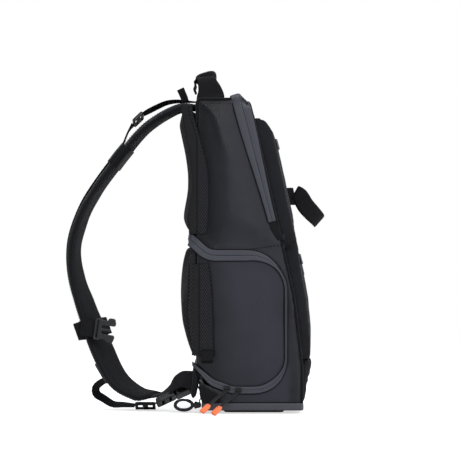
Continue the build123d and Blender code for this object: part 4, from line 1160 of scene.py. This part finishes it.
def make_lid_zip():
    side = 0.1159
    line = rounded_line([
        (0.0250, -side, 0.2640, 0), (-0.0210, -side, 0.4400, 0.016), (-0.0210, side, 0.4400, 0.016),
        (0.0250, side, 0.2640, 0),
    ], 0.003)
    rear, front, rear_edge, front_edge = [], [], [], []
    for index, co in enumerate(line):
        run = (line[min(index + 1, len(line) - 1)] - line[max(index - 1, 0)]).normalized()
        out = lid_out(co)
        forward = out.cross(run)
        forward = (forward if forward.x > 0 else -forward).normalized()
        wide = 0.0050 + 0.0062 * ramp(co.z, 0.262, 0.42)
        level = ramp(co.z, 0.418, 0.437)
        ahead = (forward - out * (1.05 * level)).normalized()
        behind = (-forward - out * (0.30 * level)).normalized()
        rear.append((co + behind * (wide / 2 + 0.0001) + out * 0.0005, behind, wide / 2, 0.0011))
        front.append((co + ahead * (wide / 2 + 0.0001) + out * 0.0005, ahead, wide / 2, 0.0011))
        rear_edge.append(co + behind * (wide + 0.0006) + out * 0.0004)
        front_edge.append(co + ahead * (wide + 0.0006) + out * 0.0004)
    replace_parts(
        add_piece(
            strip_mesh(rear, *ZIP_BAND_SECTION), "lid_zip_case_band", "band", "case", uv=False
        ),
        "lid_zip_tape_case_half"
    )
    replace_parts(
        add_piece(
            strip_mesh(front, *ZIP_BAND_SECTION), "lid_zip_lid_band", "band", "front_lid",
            uv=False
        ),
        "lid_zip_tape_lid_half"
    )
    tube(rear_edge, 0.0010, "lid_zip_case_piping", "binding", "case")
    tube(front_edge, 0.0010, "lid_zip_lid_piping", "binding", "front_lid")
    tube(
        [co + lid_out(co) * -0.001 for co in line], 0.0011, "lid_zip_teeth", "plastic", "case",
    )
    for way, label in ((-1, "near"), (1, "far")):
        places = []
        for x, z, wide in (
            (0.0245, 0.2660, 0.0050), (0.0275, 0.2560, 0.0056), (0.0315, 0.2480, 0.0050),
            (0.0360, 0.2400, 0.0040)
        ):
            places.append((Vector((x, way * 0.1158, z)), Vector((1, 0, 0.25)), wide, 0.0013))
        add_piece(
            strip_mesh(places, 0.5, 0.9, 20), f"zip_end_patch_{label}", "binding", "front_lid",
            uv=False
        )


make_lid()
make_lid_zip()


def pouch(node, name, body, voxel, reach, rise, seed, finish="dark_shell", drop=0.0, turn=0.0):
    """A pocket: its front swells between its seams."""
    low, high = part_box(node)
    mesh = remeshed([node], voxel, 4)

    def shift(co, normal):
        if normal.x < 0.3:
            return Vector((0, 0, 0))
        y = ramp(min(co.y - low.y, high.y - co.y), 0.0, reach)
        z = ramp(min(co.z - low.z, high.z - co.z), 0.0, reach)
        return Vector((rise * y * z, 0, 0))
    moved(mesh, shift)
    if turn:
        face = max(v.co.x for v in mesh.vertices if v.co.z > high.z - turn)

        def rounded(co, normal):
            """Top edge turned on a broad arc."""
            way = Vector((co.x - face + turn, 0, co.z - high.z + turn))
            if way.x < 0 or way.z < 0 or way.length < turn - 0.003:
                return Vector((0, 0, 0))
            return way.normalized() * (turn - 0.003 + (way.length - turn + 0.003) * 0.3 - way.length)
        moved(mesh, rounded)
    if drop:
        moved(mesh, lambda co, n: Vector((0, 0, -drop * (1 - ramp(co.z, low.z, low.z + 0.02)))))
    rumpled(mesh, 0.045, 0.0009, seed)
    rumpled(mesh, 0.018, 0.0004, seed + 1)
    piece = add_piece(mesh, name, finish, body)
    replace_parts(piece, node)
    return piece


def pocket_details(piece, label, body, zip_z, half, low, high):
    """Zip across a pocket's face, and the stitched seams down its sides."""
    mesh = piece.data
    tree = BVHTree.FromPolygons([v.co for v in mesh.vertices], [list(p.vertices) for p in mesh.polygons])

    def on_face(y, z, off=0.0):
        hit = tree.ray_cast(Vector((0.2, y, z)), Vector((-1, 0, 0)))[0]
        return hit + Vector((off, 0, 0))

    slope = (on_face(0, zip_z + 0.008) - on_face(0, zip_z - 0.008)).normalized()
    steps = [half * (2 * n / 40 - 1) for n in range(41)]
    tape = [(on_face(y, zip_z, 0.0004), slope, 0.0068, 0.0009) for y in steps]
    add_piece(
        strip_mesh(tape, *ZIP_BAND_SECTION), f"{label}_zip_tape", "binding", body, uv=False
    )
    for side, edge in ((-1, "low"), (1, "high")):
        lip = [(on_face(y, zip_z, 0.0012) + slope * (0.0040 * side), slope, 0.0032, 0.0010) for y in steps]
        add_piece(
            strip_mesh(lip, 0.3, 0.7, 20), f"{label}_zip_lip_{edge}", "band", body, uv=False
        )
    tube(
        [on_face(y, zip_z, 0.0012) for y in steps], 0.0011, f"{label}_zip_coil", "plastic", body,
    )
    spot = on_face(half * 0.88, zip_z, 0.0028)
    bm = bmesh.new()
    turn = slope.to_track_quat("Z", "X").to_matrix().to_4x4()
    shape = Matrix.Translation(spot) @ turn @ Matrix.Diagonal((0.0022, 0.0048, 0.0034, 1))
    bmesh.ops.create_icosphere(bm, subdivisions=3, radius=1.0, matrix=shape)
    add_piece(to_mesh(bm), f"{label}_zip_slider", "slider", body)
    pull = [
        (on_face(spot.y, zip_z - drop, 0.0034), Vector((0, 1, 0)), 0.0022, 0.0008)
        for drop in (0.001, 0.006, 0.012, 0.018, 0.024)
    ]
    add_piece(strip_mesh(pull, 0.4, 0.8, 20), f"{label}_zip_pull", "cord", body, uv=False)
    rows = []
    for side in (-1, 1):
        for inside in (0.0, 0.004):
            rows.append(
                [on_face(side * (half - inside), low + (high - low) * n / 30, 0.0003) for n in range(31)]
            )
    stitches(rows, f"{label}_side_stitches", body, 0.0040, 0.0027)


lid_pouch = pouch("lid_pocket", "lid_pocket_cloth", "front_lid", 0.0018, 0.04, 0.0035, 7, turn=0.017)
pocket_details(lid_pouch, "lid_pocket", "front_lid", 0.372, 0.086, 0.250, 0.360)
lower_pouch = pouch(
    "lower_front_pocket", "lower_pocket_cloth", "case", 0.0018, 0.04, 0.0035, 9, drop=0.0102
)
pocket_details(lower_pouch, "lower_pocket", "case", 0.212, 0.086, 0.090, 0.200)
pouch("tripod_foot_pocket", "foot_pocket_cloth", "case", 0.0022, 0.02, 0.001, 11, "shell")


def make_fold():
    """Cloth across the lid's fold."""
    places = []
    for x, z in (
        (61.4, 224), (60.6, 229), (59.6, 233), (58.8, 236.5), (58.0, 240), (57.2, 245), (56.4, 250)
    ):
        places.append((mm(x - 1.2, 0, z), Vector((0, 1, 0)), 0.0985, 0.0020))
    fold = add_piece(
        strip_mesh(places, 0.2, 0.9, 40), "lid_fold_cloth", "dark_shell", None, uv=False
    )
    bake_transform(fold)
    for way, label in ((-1, "near"), (1, "far")):
        ends = [
            (mm(x, way * 114.6, 236.4), Vector((0, 0, 1)), 0.0030, 0.0009) for x in (37.5, 44, 50, 57.5)
        ]
        add_piece(
            strip_mesh(ends, *CLOTH_SECTION), f"lid_fold_end_{label}", "binding", "case",
            uv=False
        )
        corner = [
            (mm(40.0 + (236 - z) * 0.05, way * 107.0, z), Vector((0, 1, 0)), 0.0075, 0.0022)
            for z in (227, 232, 237, 242, 247)
        ]
        cloth = add_piece(
            strip_mesh(corner, *CLOTH_SECTION), f"lid_fold_corner_{label}", "dark_shell", None,
            uv=False
        )
        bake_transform(cloth)


make_fold()


# ---- Shoulder strap --------------------------------------------------------------------
STRAP_LINE = [
    (-80.4, 0.0, 1.0, 0.0), (-99.0, 0.0, 1.0, 0.0), (-116.0, 0.0, 0.985, 0.0), (-137.0, 0.0, 0.956, 1.0),
    (-159.0, 0.0, 0.910, 2.0),
    (-186.3, 0.0, 0.828, 3.0), (-212.0, -1.0, 0.744, 3.0), (-234.0, -2.0, 0.658, 4.0),
    (-249.0, -3.0, 0.563, 5.0), (-253.0, -5.0, 0.484, 6.0),
    (-249.0, -8.0, 0.402, 9.0), (-238.0, -11.0, 0.320, 13.0), (-225.0, -15.0, 0.231, 16.0),
    (-208.0, -20.0, 0.129, 17.0), (-188.0, -26.0, 0.047, 14.0),
    (-161.0, -32.0, 0.003, 6.0), (-140.0, -38.0, 0.0, 0.0),
]
STRAP = [(x, y, 21 + 404 * share, roll) for x, y, share, roll in STRAP_LINE]


def strap_spot(position, lift=0.0, along=0.0, across_by=0.0):
    """Station on the strap in millimetres, lifted off its outside."""
    index = min(int(position), len(STRAP) - 2)
    share = position - index
    near, far = STRAP[index], STRAP[index + 1]
    x, y, z, roll = (a + (b - a) * share for a, b in zip(near, far))
    run = (Vector(far[:3]) - Vector(near[:3])).normalized()
    across = rolled_across(run, roll)
    co = Vector((x, y, z)) + across.cross(run) * lift + run * along + across * across_by
    return (*co, roll)


def make_strap():
    places = band_places(STRAP, 0.006, 0.0735, 0.0130)
    tapered = []
    for index, (centre, across, wide, thick) in enumerate(places):
        ends = min(1.0, 0.6 + 0.4 * min(index, len(places) - 1 - index) / 3)
        tapered.append((centre, across, wide * (0.94 + 0.06 * ends), thick * ends))
    mesh = strip_mesh(tapered, 0.42, 0.62, 40)
    mesh.materials.append(FINISH["dark_shell"])
    mesh.materials.append(FINISH["fine_mesh"])
    for face in mesh.polygons:
        place = min(places, key=lambda p: (p[0] - face.center).length_squared)
        index = places.index(place)
        run = (places[min(index + 1, len(places) - 1)][0] - places[max(index - 1, 0)][0]).normalized()
        off = face.center - place[0]
        lifted = off.dot(place[1].cross(run)) / place[3]
        inner = lifted < -0.5 and abs(off.dot(place[1])) < 0.88 * place[2]
        lower = lifted > 0.4 and face.center.z < 0.115 and -0.86 < off.dot(place[1]) / place[2] < 0.12
        if inner or lower:
            face.material_index = 1
    rumpled(mesh, 0.03, 0.0009, 13)
    strap = add_piece(mesh, "strap_cushion", "dark_shell", "case", uv=False)
    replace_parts(strap, "shoulder_strap_pad")
    edges, seams = [[], []], [[], []]
    for centre, across, wide, thick in tapered:
        index = len(edges[0])
        run = (tapered[min(index + 1, len(tapered) - 1)][0] - tapered[max(index - 1, 0)][0]).normalized()
        up = across.cross(run)
        for side, line, seam in ((1, edges[0], seams[0]), (-1, edges[1], seams[1])):
            line.append(centre + across * side * (wide - 0.0004))
            seam.append(centre + across * side * (wide - 0.0062) + up * (thick * 0.93))
    tube(edges, 0.0023, "strap_edge_binding", "binding", "case")
    stitches(seams, "strap_edge_stitches", "case", 0.0040, 0.0027)


make_strap()


def ribbon(stations, name, node, width=0.0245, thick=0.0016, body="case", step=0.004):
    """Webbing through stations in millimetres."""
    mesh = strip_mesh(band_places(stations, step, width, thick), 0.25, 0.9, 28)
    piece = add_piece(mesh, name, "webbing", body, uv=False)
    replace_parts(piece, node)
    return piece


lift = 9.5
start = (-169.9, 0.0, 402.1, 10.0)
end = strap_spot(13.45, 12.0, along=-16.8)
ribbon(
    [start, (-177.4, 0, 390.6, 1), *[strap_spot(p, lift) for p in (4.7, 5, 6, 7, 8, 9, 10, 11, 12)], end],
    "strap_webbing", "strap_outer_webbing"
)
ribbon(
    [
        (-80.5, 0, 433.2, 0), (-105, 0, 434.4, 8), (-122, 0, 432.4, 12), (-136, 0, 426.5, 14),
        (-148, 0, 420.4, 14), (-156.1, 0, 415.9, 10)
    ],
    "lifter_strip", "load_lifter_webbing"
)
tail = Vector(strap_spot(13.45, 12.0 + 2.7, along=10)[:3])
ribbon([
    (*tail, 20), (tail.x - 9, -22, tail.z - 4, 24), (tail.x - 16, -22, tail.z - 11, 24),
    (tail.x - 15, -22, tail.z - 20, 24),
    (tail.x - 6, -23, tail.z - 26.0, 22), (tail.x + 8, -27, 8.0, 18), (tail.x + 22, -26.5, 7.2, 14),
    (-166.6, -26.5, 6, 8),
], "tail_strip", "webbing_tail_loop")
ribbon(
    [
        (-139.4, -50, 21, 0), (-129, -57, 24.5, 8), (-118, -68, 31.5, 20), (-108, -81, 41.5, 38),
        (-99, -92.5, 46.5, 58), (-90.5, -101, 46.5, 78), (-82.2, -106, 45.5, 90)
    ],
    "arch_strip", "arch_webbing"
)


def make_sleeve():
    """Cloth sleeve round the strap that holds the webbing down on it."""
    places = band_places([strap_spot(p, 1.4) for p in (4.62, 4.8, 5.0, 5.2, 5.4)], 0.003, 0.0752, 0.0186)
    piece = add_piece(
        strip_mesh(places, 0.42, 0.62, 40), "strap_sleeve_cloth", "binding", "case",
        uv=False
    )
    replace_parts(piece, "strap_sleeve")


make_sleeve()


# ---- Grab handle -----------------------------------------------------------------------
def make_handle():
    """Flared webbing legs, drawn in and bent over into a wrapped grip."""
    half = [
        (-60.2, -73.0, 435.6, 19.6), (-60.2, -65.0, 436.0, 19.6), (-60.4, -61.5, 440.5, 19.0),
        (-61.4, -59.6, 447.5, 16.8),
        (-63.8, -57.6, 455.5, 14.2), (-65.6, -54.6, 462.0, 12.8), (-66.6, -48.5, 465.6, 12.2),
        (-66.8, -38.0, 466.8, 12.0),
    ]
    whole = half + [(x, -y, z, wide) for x, y, z, wide in reversed(half)]
    places = []
    for x, y, z, wide in smooth_path(whole, 3.0):
        places.append((mm(x, y, z), Vector((1, 0, 0.12)), wide / 1000, 0.0013))
    band = add_piece(
        strip_mesh(places, *WEBBING_SECTION), "handle_webbing", "webbing", "case", uv=False
    )
    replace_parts(band, "grab_handle")
    grip = []
    for y in (-44, -42.5, -40, -30, -15, 0, 15, 30, 40, 42.5, 44):
        end = 1 - 0.3 * ramp(abs(y), 39, 44)
        grip.append((mm(-66.8, y, 467.0), Vector((1, 0, 0.30)), 0.0150 * end, 0.0068 * end))
    mesh = rumpled(strip_mesh(grip, 0.7, 0.75, 40), 0.012, 0.0009, 21)
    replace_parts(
        add_piece(mesh, "handle_grip_wrap", "binding", "case", uv=False), "handle_grip"
    )
    flap = []
    for x, z in ((-79.6, 464.5), (-82.6, 460.5), (-81.6, 455.5), (-83.4, 450.5), (-81.4, 446.0)):
        flap.append((mm(x, 0, z), Vector((0, 1, 0)), 0.042, 0.0016))
    add_piece(
        strip_mesh(flap, *WEBBING_SECTION), "handle_grip_flap", "binding", "case", uv=False
    )
    ends = [[mm(-60.2 + s * 17.5, y, 437.7) for y in (w * 64, w * 72)] for s in (-1, 1) for w in (-1, 1)]
    rows = [[mm(-78, w * y, 437.6), mm(-42.5, w * y, 437.6)] for w in (-1, 1) for y in (65.5, 71)]
    stitches(ends + rows, "handle_stitches", "case")


make_handle()


# ---- Tripod strap ----------------------------------------------------------------------
def make_tripod_strap():
    """Webbing loop that hangs forward off the lid: two tapered legs and a folded end."""
    near = [
        (58.5, -25.0, 305.5, 10.5), (66.0, -26.0, 300.5, 11.0), (73.0, -25.5, 288.0, 11.8),
        (82.0, -21.0, 277.5, 11.8), (91.0, -12.0, 268.0, 11.0), (93.0, 0.0, 264.5, 10.5)
    ]
    whole = near + [(x, -y, z, wide) for x, y, z, wide in reversed(near[:-1])]
    places = []
    for x, y, z, wide in smooth_path(whole, 3.0):
        places.append((mm(x, y, z), Vector((0.66, 0, 0.75)), wide / 1000, 0.0011))
    piece = add_piece(
        strip_mesh(places, *WEBBING_SECTION), "tripod_webbing", "webbing", "tripod_loop",
        uv=False
    )
    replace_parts(piece, "tripod_strap")


make_tripod_strap()


# ---- Sewn webbing, buckles and fittings ------------------------------------------------
for node in (
    "hanger_tab", "cross_strap_tab", "socket_webbing", "plug_webbing", "snap_hook_webbing",
    "door_finger_tab", "tripod_tabs"
):
    moulded(node, "webbing", 0.0006, 2)
moulded("cross_strap_loop", "webbing", 0.0009, 4)
moulded("side_patch", "binding", 0.0009, 5)
for node, roll in (
    ("load_lifter_lock", -14), ("strap_lock", 0), ("strap_end_lock", -18), ("cross_buckle_male", 0),
    ("side_release_socket", -16), ("side_release_plug", -16)
):
    moulded(node, "plastic", 0.0006, 3, 0.0003, roll)
for node in ("snap_hook", "snap_hook_gate", "snap_hook_swivel"):
    moulded(node, "hook", 0.0004, 4, 0.0007)
for node in ("door_slider_a", "door_slider_b", "lid_slider"):
    moulded(node, "slider", 0.0003, 2)
moulded("base_foot", "foot", 0.0012, 2)
frame["nodes"]["frame_sheet"].data.materials.clear()
frame["nodes"]["frame_sheet"].data.materials.append(FINISH["sheet"])


def make_rear_base():
    """Padded cloth across the back between the pads and the base."""
    places = []
    for y in (-112, -108, -90, 0, 90, 108, 112):
        end = 1 - 0.5 * ramp(abs(y), 104, 112)
        places.append((mm(-81.6, y, 44.5), Vector((0.10, 0, 1)), 0.0235, 0.0046 * end))
    mesh = rumpled(strip_mesh(places, 0.5, 0.7, 48), 0.03, 0.0006, 23)
    add_piece(mesh, "rear_base_cloth", "dark_shell", "case", uv=False)


make_rear_base()


def make_bottom_trim():
    x0, x1, y1 = -0.0712, 0.0672, 0.1156
    line = rounded_line(
        [
            (0, y1, 0.0095, 0), (x0, y1, 0.0095, 0.006), (x0, -y1, 0.0095, 0.006), (x1, -y1, 0.0095, 0.006),
            (x1, y1, 0.0095, 0.006), (0, y1, 0.0095, 0)
        ],
        0.004
    )
    places = [(co, Vector((0, 0, 1)), 0.0052, 0.0010) for co in line]
    piece = add_piece(
        strip_mesh(places, 0.4, 0.9, 20), "base_trim_band", "trim", "case", uv=False
    )
    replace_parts(piece, "bottom_trim")
    tube(
        [co + Vector((0, 0, 0.0056)) for co in line], 0.0009, "base_trim_piping", "binding", "case",
    )


make_bottom_trim()


# ---- Seams -----------------------------------------------------------------------------
def make_seams():
    for side, label in ((-1, "near"), (1, "far")):
        y = side * 0.1150
        front = [
            Vector((x, y, z)) for x,
            z in ((0.0662, 0.0150), (0.0664, 0.066), (0.0552, 0.160), (0.0383, 0.2352))
        ]
        tube(front, 0.0016, f"front_piping_{label}", "binding", "case")
        lid = [
            Vector((x, y, z)) for x,
            z in ((0.0378, 0.2380), (-0.0008, 0.4080), (-0.0042, 0.4190), (-0.0105, 0.4270))
        ]
        tube(lid, 0.0016, f"lid_piping_{label}", "binding", "front_lid")
        top = rounded_line(
            [(-0.0790, y, 0.400, 0), (-0.0790, y, 0.4330, 0.006), (-0.0310, y, 0.4330, 0)], 0.003
        )
        tube(top, 0.0016, f"top_piping_{label}", "binding", "case")
    y = -0.1168
    seam = [(-0.0115, y, 0.2256), (0.012, y, 0.2285), (0.0395, y, 0.2320)]
    stitches([smooth_path(seam, 0.003)], "side_seam_stitches", "case", 0.0048, 0.0032, 0.0013)
    stitches([[(-0.030, y, 0.4265), (-0.074, y, 0.4265)]], "top_stitches", "case")


make_seams()
